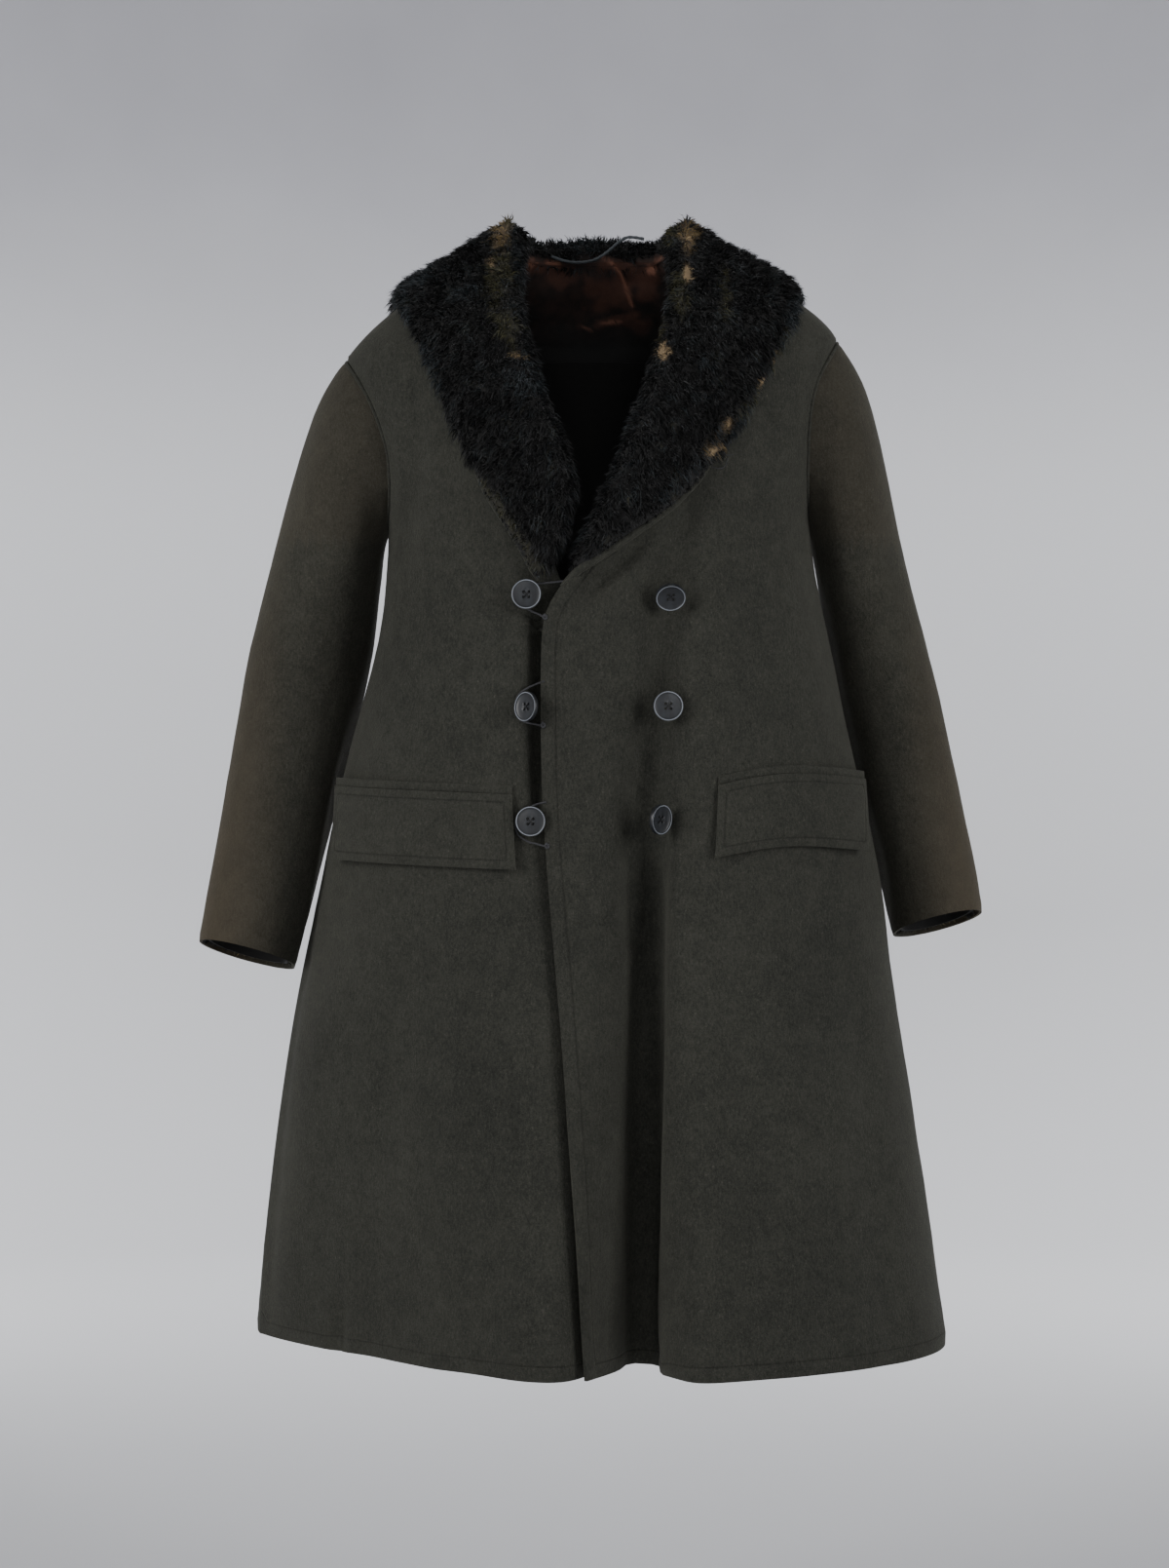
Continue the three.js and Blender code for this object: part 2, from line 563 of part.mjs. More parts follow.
// The fur that shows in a sleeve's mouth: a short round wall inside the cuff.
function cuffLining(side) {
  const rings = sleeveRings(side);
  const cut = 4;
  const outside = sleeveInside(rings, CLOTH + 0.8).slice(-cut);
  const inside = sleeveInside(rings, CLOTH + 0.8 + 5).slice(-cut);
  const short = (grid) => {
    const end = grid[cut - 1].map((point, step) => mix3(point, grid[cut - 2][step], 0.12));
    const start = grid[0].map((point, step) => mix3(grid[1][step], point, CUFF_LINING_DEPTH / 80));
    return [start, grid[1], grid[2], end];
  };
  return wall(short(outside), short(inside), true);
}

const mix3 = (a, b, t) => a.clone().lerp(b, t);
const radians = THREE.MathUtils.degToRad;

// Collar stations as angles and heights, with one more between each two.
function collarStations(side) {
  const rows = COLLAR[side].map((row, i) => ({
    at: i,
    rollZ: row.rollZ,
    edgeZ: row.edgeZ,
    roll: row.rollX === undefined ? radians(row.rollTurn) : angleAtX(row.rollX, row.rollZ),
    edge: row.edgeX === undefined ? radians(row.edgeTurn) : angleAtX(row.edgeX, row.edgeZ),
  }));
  const stations = [];
  for (let at = 0; at <= rows.length - 1; at += 0.5) {
    const read = (column) => along(rows, column, at, "at");
    stations.push({
      share: at / (rows.length - 1),
      roll: { angle: read("roll"), z: read("rollZ") },
      edge: { angle: read("edge"), z: read("edgeZ") },
    });
  }
  return stations;
}

// One section of the collar: up the fall from its edge, over the roll, down the stand inside, and back
// along both faces of the cloth that it wraps.
function collarRing({ share, roll, edge }) {
  const rollPoint = bodyPoint(roll.angle, roll.z);
  const reach = rollPoint.distanceTo(bodyPoint(edge.angle, edge.z));
  const place = (distance, off) => {
    const t = distance / reach;
    return offBody(mix(roll.angle, edge.angle, t), mix(roll.z, edge.z, t), off);
  };
  const tip = smooth(share / 0.09);
  const fur = mix(5, FUR, tip);
  const stand = mix(4, mix(FUR - 3, STAND_FUR, smooth((share - 0.6) / 0.2)), tip);
  const over = mix(6, mix(15, BACK_ROLL, smooth((share - 0.55) / 0.3)), tip);
  const foot = Math.min(reach * 0.55, mix(5, mix(20, 7, smooth((share - 0.6) / 0.15)), tip));
  const under = COLLAR_LIFT;
  const back = -CLOTH - COLLAR_LIFT;
  return [
    place(reach, COLLAR_SEAT),
    place(reach + 2.5, under + fur * 0.4),
    place(reach * 0.97, under + fur * 0.78),
    place(reach * 0.8, under + fur),
    place(reach * 0.5, under + fur * 1.12),
    place(reach * 0.22, under + fur * 1.06),
    place(0, under + fur * 0.98),
    place(-over * 0.62, under + fur * 0.62),
    place(-over, -CLOTH / 2),
    place(-over * 0.6, back - stand * 0.66),
    place(0, back - stand),
    place(foot * 0.8, back - stand * 0.8),
    place(foot, back),
    place(foot * 0.5, back),
    place(-COLLAR_SEAT, back),
    place(-COLLAR_SEAT, under),
    place(reach * 0.25, under),
    place(reach * 0.5, under),
    place(reach * 0.75, under),
  ];
}

function collarHalf(side) {
  return loft(collarStations(side).map(collarRing));
}

// A thin layer that lies inside the back between two heights and two angles.
function backLining({ top, bottom, turn, near, thick, rows, columns }) {
  const outer = [];
  const inner = [];
  for (let row = 0; row <= rows; row += 1) {
    const z = mix(bottom, top, row / rows);
    const half = radians(turn);
    const line = (off) => {
      const points = [];
      for (let i = 0; i <= columns; i += 1) {
        const raw = Math.PI - half + (2 * half * i) / columns;
        points.push(offBody(raw > Math.PI ? raw - 2 * Math.PI : raw, z, off));
      }
      return points;
    };
    outer.push(line(-near));
    inner.push(line(-near - thick));
  }
  return wall(outer, inner);
}

// Pocket flap and the strip sewn above it, made from the front's points, moved out.
function flapPoint(side, share, down, off) {
  const flap = FLAP[side];
  const x = mix(flap.nearX, flap.farX, share);
  const top = mix(flap.nearZ, flap.farZ, share) + flap.bow * Math.sin(Math.PI * share);
  const z = top - down;
  const stand = 2.5 * smooth(down / flap.drop) + 7 * smooth((share - 0.6) / 0.4);
  return offBody(angleAtX(x - side * down * 0.06 * (1 - share), z), z, off + stand);
}

function flapWall(side, from, to, thick, rows, columns) {
  const grid = (off) => {
    const lines = [];
    for (let row = 0; row <= rows; row += 1) {
      const line = [];
      for (let i = 0; i <= columns; i += 1) {
        line.push(flapPoint(side, i / columns, mix(from, to, row / rows), off));
      }
      lines.push(line);
    }
    return lines;
  };
  return wall(grid(SEAM + 0.6 + thick), grid(SEAM + 0.6));
}

// A button with a raised rim and a dished middle on a short thread neck, with its face along +Z.
function buttonGeometry() {
  const neck = BUTTON_NECK;
  const plate = BUTTON_PLATE;
  const profile = [
    [0, SEAM], [3, SEAM], [2.6, neck], [11.5, neck], [14, neck + 1.2], [BUTTON_RADIUS, neck + 2.4],
    [14, neck + plate], [12.6, neck + plate + 0.3], [11.4, neck + plate - 0.5], [9.5, neck + plate - 1.5],
    [5, neck + plate - 1.9], [0, neck + plate - 2],
  ].map(([r, h]) => new THREE.Vector2(r, h));
  const turned = new THREE.LatheGeometry(profile, 16).rotateX(Math.PI / 2);
  const holes = [45, 135, 225, 315].map((turn) => {
    const hole = new THREE.CylinderGeometry(1.15, 1.15, 3, 6).rotateX(Math.PI / 2);
    return hole.translate(3.1 * Math.cos(radians(turn)), 3.1 * Math.sin(radians(turn)), neck + plate);
  });
  return cutBy(turned, ...holes);
}

// Seats a button square to the cloth, and lifts it where the cloth beside it stands higher.
function buttonAt(geometry, place) {
  const seat = (dx, dz) => bodyPoint(angleAtX(place.x + dx, place.z + dz), place.z + dz);
  const centre = seat(0, 0);
  const face = bodyNormal(angleAtX(place.x, place.z), place.z);
  let lift = 0;
  for (let turn = 0; turn < 2 * Math.PI; turn += Math.PI / 8) {
    const beside = seat(BUTTON_RADIUS * Math.cos(turn), BUTTON_RADIUS * Math.sin(turn));
    lift = Math.max(lift, beside.sub(centre).dot(face) - BUTTON_NECK + 0.4);
  }
  centre.addScaledVector(face, lift - BUTTON_SINK);
  const turn = new THREE.Quaternion().setFromUnitVectors(new THREE.Vector3(0, 0, 1), face);
  return geometry.clone().applyQuaternion(turn).translate(centre.x, centre.y, centre.z);
}

// A cord along a smooth curve through its points.
function cord(points, diameter, steps) {
  const curve = new THREE.CatmullRomCurve3(points);
  const round = new THREE.Shape().absarc(0, 0, diameter / 2, 0, 2 * Math.PI);
  const sides = 6;
  return new THREE.ExtrudeGeometry(new THREE.Shape(round.getSpacedPoints(sides).slice(0, sides)), {
    steps,
    extrudePath: curve,
    bevelEnabled: false,
  });
}

// Button loops: off the left front's edge, round the button's neck and back, as steps from the button.
const LOOP_PATH = [
  { x: 17.5, z: 8.5, off: 1.8 }, { x: 11, z: 7.5, off: 1.9 }, { x: 4, z: 5.6, off: 1.8 },
  { x: -3.5, z: 4.2, off: 1.8 }, { x: -6, z: 0, off: 1.8 }, { x: -3.5, z: -4.6, off: 1.8 },
  { x: 4, z: -8, off: 1.8 }, { x: 10, z: -13, off: 1.9 }, { x: 17, z: -17, off: 1.9 },
];

function buttonLoop(button) {
  const points = LOOP_PATH.map((step) => {
    const z = button.z + step.z;
    return offBody(angleAtX(button.x + step.x, z), z, step.off);
  });
  return cord(points, CORD, 20);
}

// The hanging loop lies across the inside of the back neck.
const HANGER = [
  { x: -46, z: 44 }, { x: -35, z: 39.5 }, { x: -20, z: 37 }, { x: -5, z: 37.5 }, { x: 7, z: 42 },
  { x: 15, z: 48 }, { x: 25, z: 57 }, { x: 34, z: 62 }, { x: 43, z: 61 }, { x: 53, z: 59 },
];
const HANGER_CORD = 3.2;
const HANGER_ENDS = 20; // its ends touch the stand's fur
const HANGER_MIDDLE = 25; // and its middle hangs clear of it

function hangingLoop() {
  const points = HANGER.map(({ x, z }, i) => {
    const side = Math.sign(x);
    const inside = mix(HANGER_ENDS, HANGER_MIDDLE, Math.sin((Math.PI * i) / (HANGER.length - 1)));
    const angle = side * (Math.PI - Math.asin(Math.abs(x) / 78));
    const point = bodyPoint(angle, Math.min(z, TOP_Z));
    return new THREE.Vector3(x, point.y - inside, z);
  });
  return cord(points, HANGER_CORD, 24);
}

const root = new THREE.Group();

function add(name, geometry, color, roughness) {
  const mesh = new THREE.Mesh(geometry, new THREE.MeshStandardMaterial({ color, roughness, metalness: 0 }));
  mesh.name = name;
  root.add(mesh);
}

const WOOL = 0x31332c;
const BLACK_FUR = 0x121213;
const WORN_LINING = 0x5a3427;
const HORN = 0x0c0c0d;
const LOOP_CORD = 0x1a1b1a;
const HANGER_BLUE = 0x39424a;
const WOOL_ROUGH = 0.95;
const FUR_ROUGH = 0.9;

const FRONT_COLUMNS = { [RIGHT]: 16, [LEFT]: 21 };
const BACK_COLUMNS = 18;
add("front_right", frontPanel(RIGHT, FRONT_COLUMNS[RIGHT]), WOOL, WOOL_ROUGH);
add("front_left", frontPanel(LEFT, FRONT_COLUMNS[LEFT]), WOOL, WOOL_ROUGH);
add("back", backPanel(BACK_COLUMNS), WOOL, WOOL_ROUGH);
for (const [side, name] of [[RIGHT, "right"], [LEFT, "left"]]) {
  const seam = SLEEVE_SEAM_STEP;
  add(`sleeve_top_${name}`, sleevePiece(side, -seam, seam), WOOL, WOOL_ROUGH);
  add(`sleeve_under_${name}`, sleevePiece(side, seam, SLEEVE_STEPS - seam), WOOL, WOOL_ROUGH);
  add(`cuff_lining_${name}`, cuffLining(side), BLACK_FUR, FUR_ROUGH);
  const shoulder = [frontPanel(side, FRONT_COLUMNS[side], SEAM), backPanel(BACK_COLUMNS, SEAM)];
  add(`collar_${name}`, cutBy(collarHalf(side), ...shoulder), BLACK_FUR, FUR_ROUGH);
  const flap = FLAP[side];
  add(`flap_${name}`, flapWall(side, 0, flap.drop, FLAP_CLOTH, 4, 11), WOOL, WOOL_ROUGH);
  add(`welt_${name}`, flapWall(side, -flap.welt, -SEAM, 1.6, 1, 11), WOOL, WOOL_ROUGH);
}
const LINING = { near: CLOTH + 3.8, columns: 10 };
add("lining_neck", backLining({ ...LINING, top: 32, bottom: -52, turn: 62, thick: 2, rows: 4 }), WORN_LINING, 0.8);
add("lining_fur", backLining({ ...LINING, top: -53, bottom: -330, turn: 66, thick: 6, rows: 7 }), BLACK_FUR, FUR_ROUGH);
const button = buttonGeometry();
for (const [side, name] of [[RIGHT, "right"], [LEFT, "left"]]) {
  BUTTONS[side].forEach((place, i) => add(`button_${name}_${i + 1}`, buttonAt(button, place), HORN, 0.25));
}
BUTTONS[RIGHT].forEach((place, i) => add(`button_loop_${i + 1}`, buttonLoop(place), LOOP_CORD, 0.7));
add("hanging_loop", hangingLoop(), HANGER_BLUE, 0.7);

export default root;
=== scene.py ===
import math

import bmesh
import bpy
import numpy as np
from mathutils import Matrix, Vector, noise
from mathutils.bvhtree import BVHTree
from mathutils.kdtree import KDTree


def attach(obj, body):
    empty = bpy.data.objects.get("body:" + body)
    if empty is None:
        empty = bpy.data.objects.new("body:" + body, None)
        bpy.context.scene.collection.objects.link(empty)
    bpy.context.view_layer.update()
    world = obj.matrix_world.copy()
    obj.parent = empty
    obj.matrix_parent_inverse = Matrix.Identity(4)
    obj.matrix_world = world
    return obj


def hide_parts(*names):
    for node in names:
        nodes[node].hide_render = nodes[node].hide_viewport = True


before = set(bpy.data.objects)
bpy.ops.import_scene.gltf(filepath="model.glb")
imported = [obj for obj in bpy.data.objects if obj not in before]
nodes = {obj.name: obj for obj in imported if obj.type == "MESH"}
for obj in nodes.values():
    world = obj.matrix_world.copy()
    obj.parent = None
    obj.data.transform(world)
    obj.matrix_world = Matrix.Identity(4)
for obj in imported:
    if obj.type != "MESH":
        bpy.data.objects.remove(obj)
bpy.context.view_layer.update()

MM = 0.001
CLOTH = 3.0 * MM
rng = np.random.default_rng(71)


# Sizes of the picture and of the camera's view, which place what is given in the picture's pixels

PIXEL = 0.97 * MM
REACH = 3.5
MIDDLE = (610, 804.5)
EYE_HEIGHT = -0.489


# New objects

def placed(name, data):
    """A new object of the scene that holds this mesh, camera or light."""
    obj = bpy.data.objects.new(name, data)
    bpy.context.scene.collection.objects.link(obj)
    return obj


def as_object(bm, name):
    data = bpy.data.meshes.new(name)
    bm.to_mesh(data)
    bm.free()
    return placed(name, data)


def closed_mesh(name, verts, faces):
    """An object of these faces, all turned outwards."""
    data = bpy.data.meshes.new(name)
    data.from_pydata([tuple(v) for v in verts], [], faces)
    bm = bmesh.new()
    bm.from_mesh(data)
    bmesh.ops.recalc_face_normals(bm, faces=bm.faces)
    bm.to_mesh(data)
    bm.free()
    return placed(name, data)


def tube_faces(rings, sides):
    """The faces of a tube of rings, with a face at each end."""
    faces = []
    for i in range(rings - 1):
        for k in range(sides):
            a, b = i * sides + k, i * sides + (k + 1) % sides
            faces.append((a, b, b + sides, a + sides))
    faces.append(tuple(range(sides))[::-1])
    faces.append(tuple((rings - 1) * sides + k for k in range(sides)))
    return faces


# Camera, lights and floor

def make_camera():
    data = bpy.data.cameras.new("camera")
    data.lens = 80.7
    data.sensor_width = 36
    data.clip_start = 0.05
    data.clip_end = 60
    camera = placed("camera", data)
    camera.location = (-0.0097, -REACH, EYE_HEIGHT)
    camera.rotation_euler = (math.pi / 2, 0, 0)
    bpy.context.scene.camera = camera


def area_light(name, place, target, size, power):
    data = bpy.data.lights.new(name, "AREA")
    data.shape = "RECTANGLE"
    data.size, data.size_y = size
    data.energy = power
    light = placed(name, data)
    light.location = place
    light.visible_camera = False
    light.rotation_euler = (Vector(target) - light.location).to_track_quat("-Z", "Y").to_euler()


make_camera()
area_light("left", (-3.0, -2.0, 0.5), (0, 0, -0.5), (1.5, 2.4), 100)
area_light("right", (3.1, -2.1, 0.3), (0, 0, -0.5), (1.5, 2.4), 88)
area_light("top", (0, -0.6, 2.4), (0, 0, -0.3), (1.6, 1.2), 16)
area_light("front", (0.1, -4.4, 0.9), (0, 0, -0.3), (1.6, 1.2), 10)
area_light("low_front", (0.05, -3.1, -0.85), (0, 0.05, -0.05), (0.6, 0.5), 9)
area_light("back", (0.3, 4.0, 1.2), (0, 0, -0.5), (2.4, 1.4), 84)
area_light("backdrop_left", (-2.6, 2.2, -0.1), (-0.6, 5.3, -0.6), (1.2, 2.0), 74)
area_light("backdrop_right", (2.6, 2.2, -0.1), (0.6, 5.3, -0.6), (1.2, 2.0), 74)

world = bpy.data.worlds.new("studio")
bpy.context.scene.world = world
world.use_nodes = True
world.node_tree.nodes["Background"].inputs["Color"].default_value = (0.88, 0.9, 0.95, 1)
world.node_tree.nodes["Background"].inputs["Strength"].default_value = 0.13


# Materials: a small way to write shader maths as Python expressions

def colour(code):
    parts = [int(code[i:i + 2], 16) / 255 for i in (1, 3, 5)]
    return tuple(p / 12.92 if p <= 0.04045 else ((p + 0.055) / 1.055) ** 2.4 for p in parts) + (1.0,)


class Value:
    """A node's output that takes part in sums, products and comparisons."""

    def __init__(self, paint, output):
        self.paint = paint
        self.output = output

    def maths(self, operation, other=None, swap=False):
        first, second = (other, self) if swap else (self, other)
        links = {0: first} if other is None else {0: first, 1: second}
        return self.paint.node("ShaderNodeMath", {"operation": operation}, links)

    def __add__(self, other):
        return self.maths("ADD", other)

    def __sub__(self, other):
        return self.maths("SUBTRACT", other)

    def __mul__(self, other):
        return self.maths("MULTIPLY", other)

    def __truediv__(self, other):
        return self.maths("DIVIDE", other)

    def __rsub__(self, other):
        return self.maths("SUBTRACT", other, True)

    def __rtruediv__(self, other):
        return self.maths("DIVIDE", other, True)

    __radd__ = __add__
    __rmul__ = __mul__

    def size(self):
        return self.maths("ABSOLUTE")

    def step(self, low, high):
        ends = {0: self, 1: low, 2: high}
        return self.paint.node("ShaderNodeMapRange", {"interpolation_type": "SMOOTHSTEP"}, ends)


class Paint:
    """One material and its nodes."""

    def __init__(self, name):
        self.material = bpy.data.materials.new(name)
        self.material.use_nodes = True
        self.tree = self.material.node_tree
        self.tree.nodes.clear()
        self.place = self.node("ShaderNodeTexCoord", output="Object")

    def node(self, kind, settings=None, links=None, output=0):
        made = self.tree.nodes.new(kind)
        for key, value in (settings or {}).items():
            setattr(made, key, value)
        for key, value in (links or {}).items():
            if isinstance(value, Value):
                self.tree.links.new(value.output, made.inputs[key])
            else:
                made.inputs[key].default_value = value
        return None if output is None else Value(self, made.outputs[output])

    def noise(self, scale, detail=3.0, rough=0.55, place=None):
        links = {"Vector": place or self.place, "Scale": scale, "Detail": detail, "Roughness": rough}
        return self.node("ShaderNodeTexNoise", {}, links)

    def mix(self, share, first, second):
        return self.node("ShaderNodeMix", {"data_type": "RGBA"}, {0: share, 6: first, 7: second}, output=2)

    def attribute(self, name, output="Fac"):
        return self.node("ShaderNodeAttribute", {"attribute_name": name}, output=output)

    def stretched(self, x, y, z):
        links = {0: self.place, 1: (x, y, z)}
        return self.node("ShaderNodeVectorMath", {"operation": "MULTIPLY"}, links)

    def bump(self, height, strength, distance, below=None):
        links = {"Height": height, "Strength": strength, "Distance": distance}
        if below is not None:
            links["Normal"] = below
        return self.node("ShaderNodeBump", {}, links)

    def finish(self, **sockets):
        links = {key.replace("_", " "): value for key, value in sockets.items()}
        surface = self.node("ShaderNodeBsdfPrincipled", {}, links)
        self.node("ShaderNodeOutputMaterial", {}, {"Surface": surface}, output=None)
        return self.material


def wool(name, dark, light, faded_and_lit=None):
    """Heavy fulled wool: matt, with pale flecks. The attribute edge is the distance from a stitched edge.
    Where a third colour is given, the attribute worn tints it browner and paler: faded wool, and painted
    light where the lamps fall.
    """
    paint = Paint(name)
    broad = paint.noise(6, 2)
    cloudy = paint.noise(60, 3, 0.6)
    nap = paint.noise(760, 2, 0.7)
    drawn = paint.noise(480, 2, 0.6, paint.stretched(1.0, 1.0, 0.5))
    groove = ((paint.attribute("edge") - 0.0142).size() / 0.0015).step(1.0, 0.0)
    share = (broad * 0.35 + cloudy * 0.35 + nap * 0.75 + drawn * 0.65).step(0.62, 1.5)
    shade = paint.mix(share, colour(dark), colour(light))
    # Faded wool and painted light: browner and paler where the attribute worn is high.
    if faded_and_lit is not None:
        shade = paint.mix(paint.attribute("worn") * (cloudy * 0.5 + 0.35), shade, colour(faded_and_lit))
    shade = paint.mix((nap * 0.7 + drawn * 0.5).step(0.74, 0.86) * 0.22, shade, colour("#6c6a5c"))
    # Painted shade: the stitch line's groove is darkened in the colour as well as sunk by the bump.
    shade = paint.mix(groove * 0.3, shade, colour("#11110e"))
    relief = paint.bump(nap * 0.7 + drawn * 0.6, 0.6, 0.0012)
    relief = paint.bump(groove * -1.0, 0.5, 0.0015, relief)
    return paint.finish(
        Base_Color=shade,
        Roughness=0.94,
        Specular_IOR_Level=0.14,
        Sheen_Weight=0.12,
        Sheen_Roughness=0.45,
        Sheen_Tint=colour("#c9c6b6"),
        Normal=relief,
    )


def plain(name, base, rough):
    paint = Paint(name)
    cloudy = paint.noise(60, 3)
    shade = paint.mix(cloudy, colour(base[0]), colour(base[1]))
    relief = paint.bump(paint.noise(900, 2), 0.2, 0.0003)
    return paint.finish(Base_Color=shade, Roughness=rough, Normal=relief)


def backdrop_colour():
    """Pale, with painted shade that makes it a little darker towards the top."""
    paint = Paint("pale_backdrop")
    split = paint.node("ShaderNodeSeparateXYZ", {}, {"Vector": paint.place}, output="Z")
    # Painted shade: the backdrop's colour darkens towards the top.
    shade = paint.mix(split.step(0.0, 1.3), colour("#c9cacd"), colour("#9c9ca2"))
    shade = paint.mix(paint.noise(3, 2) * 0.2, shade, colour("#cfcfd2"))
    return paint.finish(Base_Color=shade, Roughness=0.95, Specular_IOR_Level=0.1)


backdrop_paint = backdrop_colour()


def make_backdrop():
    """A pale round floor whose rim curves up into a wall all round."""
    bm = bmesh.new()
    profile = [(0.0, 0.0), (3.6, 0.0)]
    for step in range(1, 17):
        turn = math.pi / 2 * step / 16
        profile.append((3.6 + 1.7 * math.sin(turn), 1.7 - 1.7 * math.cos(turn)))
    profile.append((5.3, 5.5))
    verts = [bm.verts.new((r, 0, z - 1.42)) for r, z in profile]
    edges = [bm.edges.new(pair) for pair in zip(verts[:-1], verts[1:])]
    bmesh.ops.spin(
        bm, geom=verts + edges, cent=(0, 0, 0), axis=(0, 0, 1), angle=2 * math.pi, steps=96, use_merge=True
    )
    bmesh.ops.remove_doubles(bm, verts=bm.verts, dist=1e-4)
    bmesh.ops.recalc_face_normals(bm, faces=bm.faces)
    if sum(f.normal.z for f in bm.faces) < 0:
        bmesh.ops.reverse_faces(bm, faces=bm.faces)
    obj = as_object(bm, "pale_floor")
    obj.data.polygons.foreach_set("use_smooth", [True] * len(obj.data.polygons))
    obj.data.materials.append(backdrop_paint)
    return obj


make_backdrop()


# Cloth: each piece's outer face is taken from its solid, smoothed, creased and given its thickness

def solid_points(name):
    return np.array([v.co[:] for v in nodes[name].data.vertices])


def tree_of(*meshes):
    """These meshes as one tree that finds what a ray hits and what lies nearest."""
    whole = bmesh.new()
    for mesh in meshes:
        whole.from_mesh(mesh)
    tree = BVHTree.FromBMesh(whole)
    whole.free()
    return tree


def solid_mesh(name):
    """A node's triangles, merged into one closed mesh."""
    bm = bmesh.new()
    bm.from_mesh(nodes[name].data)
    bmesh.ops.remove_doubles(bm, verts=bm.verts, dist=2e-5)
    bm.normal_update()
    return bm


def outer_face(name, thick=CLOTH, inner=False):
    """Keeps a wall's outer face. A face of the rim has an edge straight through the wall."""
    bm = solid_mesh(name)
    rim = [f for f in bm.faces if any(abs(e.calc_length() - thick) < 0.03 * thick for e in f.edges)]
    bmesh.ops.delete(bm, geom=rim, context="FACES_ONLY")
    groups = sorted(connected(bm), key=lambda faces: -sum(f.calc_area() for f in faces))[:2]
    whole = groups[0] + groups[1]
    middle = sum((f.calc_center_median() for f in whole), Vector()) / len(whole)
    facing = []
    for faces in groups:
        facing.append(sum(f.normal.dot((f.calc_center_median() - middle) * f.calc_area()) for f in faces))
    keep = set(groups[0] if (facing[0] > facing[1]) != inner else groups[1])
    bmesh.ops.delete(bm, geom=[f for f in bm.faces if f not in keep], context="FACES")
    bmesh.ops.delete(bm, geom=[v for v in bm.verts if not v.link_faces], context="VERTS")
    if inner:
        bmesh.ops.reverse_faces(bm, faces=bm.faces)
    return bm


def connected(bm):
    seen = set()
    groups = []
    for first in bm.faces:
        if first in seen:
            continue
        seen.add(first)
        group = [first]
        for face in group:
            for edge in face.edges:
                for other in edge.link_faces:
                    if other not in seen:
                        seen.add(other)
                        group.append(other)
        groups.append(group)
    return groups


def only(obj):
    bpy.ops.object.select_all(action="DESELECT")
    obj.select_set(True)
    bpy.context.view_layer.objects.active = obj


def apply_modifier(obj, kind, **settings):
    only(obj)
    modifier = obj.modifiers.new(kind.lower(), kind)
    for key, value in settings.items():
        setattr(modifier, key, value)
    bpy.ops.object.modifier_apply(modifier=modifier.name)


def points_of(obj):
    flat = np.empty(len(obj.data.vertices) * 3)
    obj.data.vertices.foreach_get("co", flat)
    return flat.reshape(-1, 3)


def normals_of(obj):
    flat = np.empty(len(obj.data.vertices) * 3)
    obj.data.vertices.foreach_get("normal", flat)
    return flat.reshape(-1, 3)


def set_points(obj, points):
    obj.data.vertices.foreach_set("co", points.astype(float).ravel())
    obj.data.update()


def set_attribute(obj, name, values):
    layer = obj.data.attributes.get(name) or obj.data.attributes.new(name, "FLOAT", "POINT")
    layer.data.foreach_set("value", np.asarray(values, float))


def boundary_mask(obj):
    """True at the vertices on the open edge of a sheet."""
    bm = bmesh.new()
    bm.from_mesh(obj.data)
    open_ones = [any(e.is_boundary for e in v.link_edges) for v in bm.verts]
    bm.free()
    return np.array(open_ones)


def nearest(points, targets):
    """Which of the targets lies nearest to each point, and how far off it is."""
    tree = KDTree(len(targets))
    for i, p in enumerate(targets):
        tree.insert(p, i)
    tree.balance()
    found = [tree.find(p) for p in points]
    return np.array([index for _, index, _ in found]), np.array([gap for _, _, gap in found])


def distance_to(points, targets):
    return nearest(points, targets)[1]


def along_path(flat, path):
    """Distance of flat points from a path, and the share of the path passed at the nearest place."""
    steps = np.diff(path, axis=0)
    lengths = np.linalg.norm(steps, axis=1)
    total = lengths.sum()
    best = np.full(len(flat), 9.0)
    share = np.zeros(len(flat))
    passed = 0.0
    for start, step, length in zip(path[:-1], steps, lengths):
        t = np.clip(((flat - start) @ step) / length ** 2, 0, 1)
        gap = np.linalg.norm(flat - (start + t[:, None] * step), axis=1)
        nearer = gap < best
        best[nearer] = gap[nearer]
        share[nearer] = (passed + t[nearer] * length) / total
        passed += length
    return best, share


def in_picture(points):
    """Where points land in the picture, 1200 by 1609, that the camera takes."""
    scale = PIXEL * (1 + points[:, 1] / REACH)
    across, down = points[:, 0] / scale, (points[:, 2] - EYE_HEIGHT) / scale
    return np.stack([MIDDLE[0] + across, MIDDLE[1] - down], axis=1)


SIDES = {
    "picture": (lambda p: in_picture(p) * PIXEL, (0, -1, 0), PIXEL),
    "back": (lambda p: p[:, [0, 2]], (0, 1, 0), MM),
    "left": (lambda p: p[:, [1, 2]], (1, 0, 0), MM),
    "right": (lambda p: p[:, [1, 2]], (-1, 0, 0), MM),
}


def press(obj, strokes, hold=1.0):
    """Moves the cloth in or out along strokes: soft troughs (negative) and ridges.
    A stroke is the side it is seen from, its path, its height and its half width in millimetres. The
    path is in the picture's pixels for the front, and in millimetres for the other sides."""
    points = points_of(obj)
    normals = normals_of(obj)
    move = np.zeros(len(points))
    for side, path, height, width in strokes:
        flatten, facing, unit_size = SIDES[side]
        seen = np.clip(normals @ np.array(facing) * 3.0 + 0.3, 0, 1)
        gap, share = along_path(flatten(points), np.array(path, float) * unit_size)
        ends = np.clip(share * 4, 0, 1) * np.clip((1 - share) * 4, 0, 1)
        if side == "picture" and path[-1][1] > 1380:
            ends = np.clip(share * 4, 0, 1)
        move += height * MM * np.exp(-(gap / (width * MM)) ** 2) * ends ** 0.7 * seen
    set_points(obj, points + normals * (move * hold)[:, None])


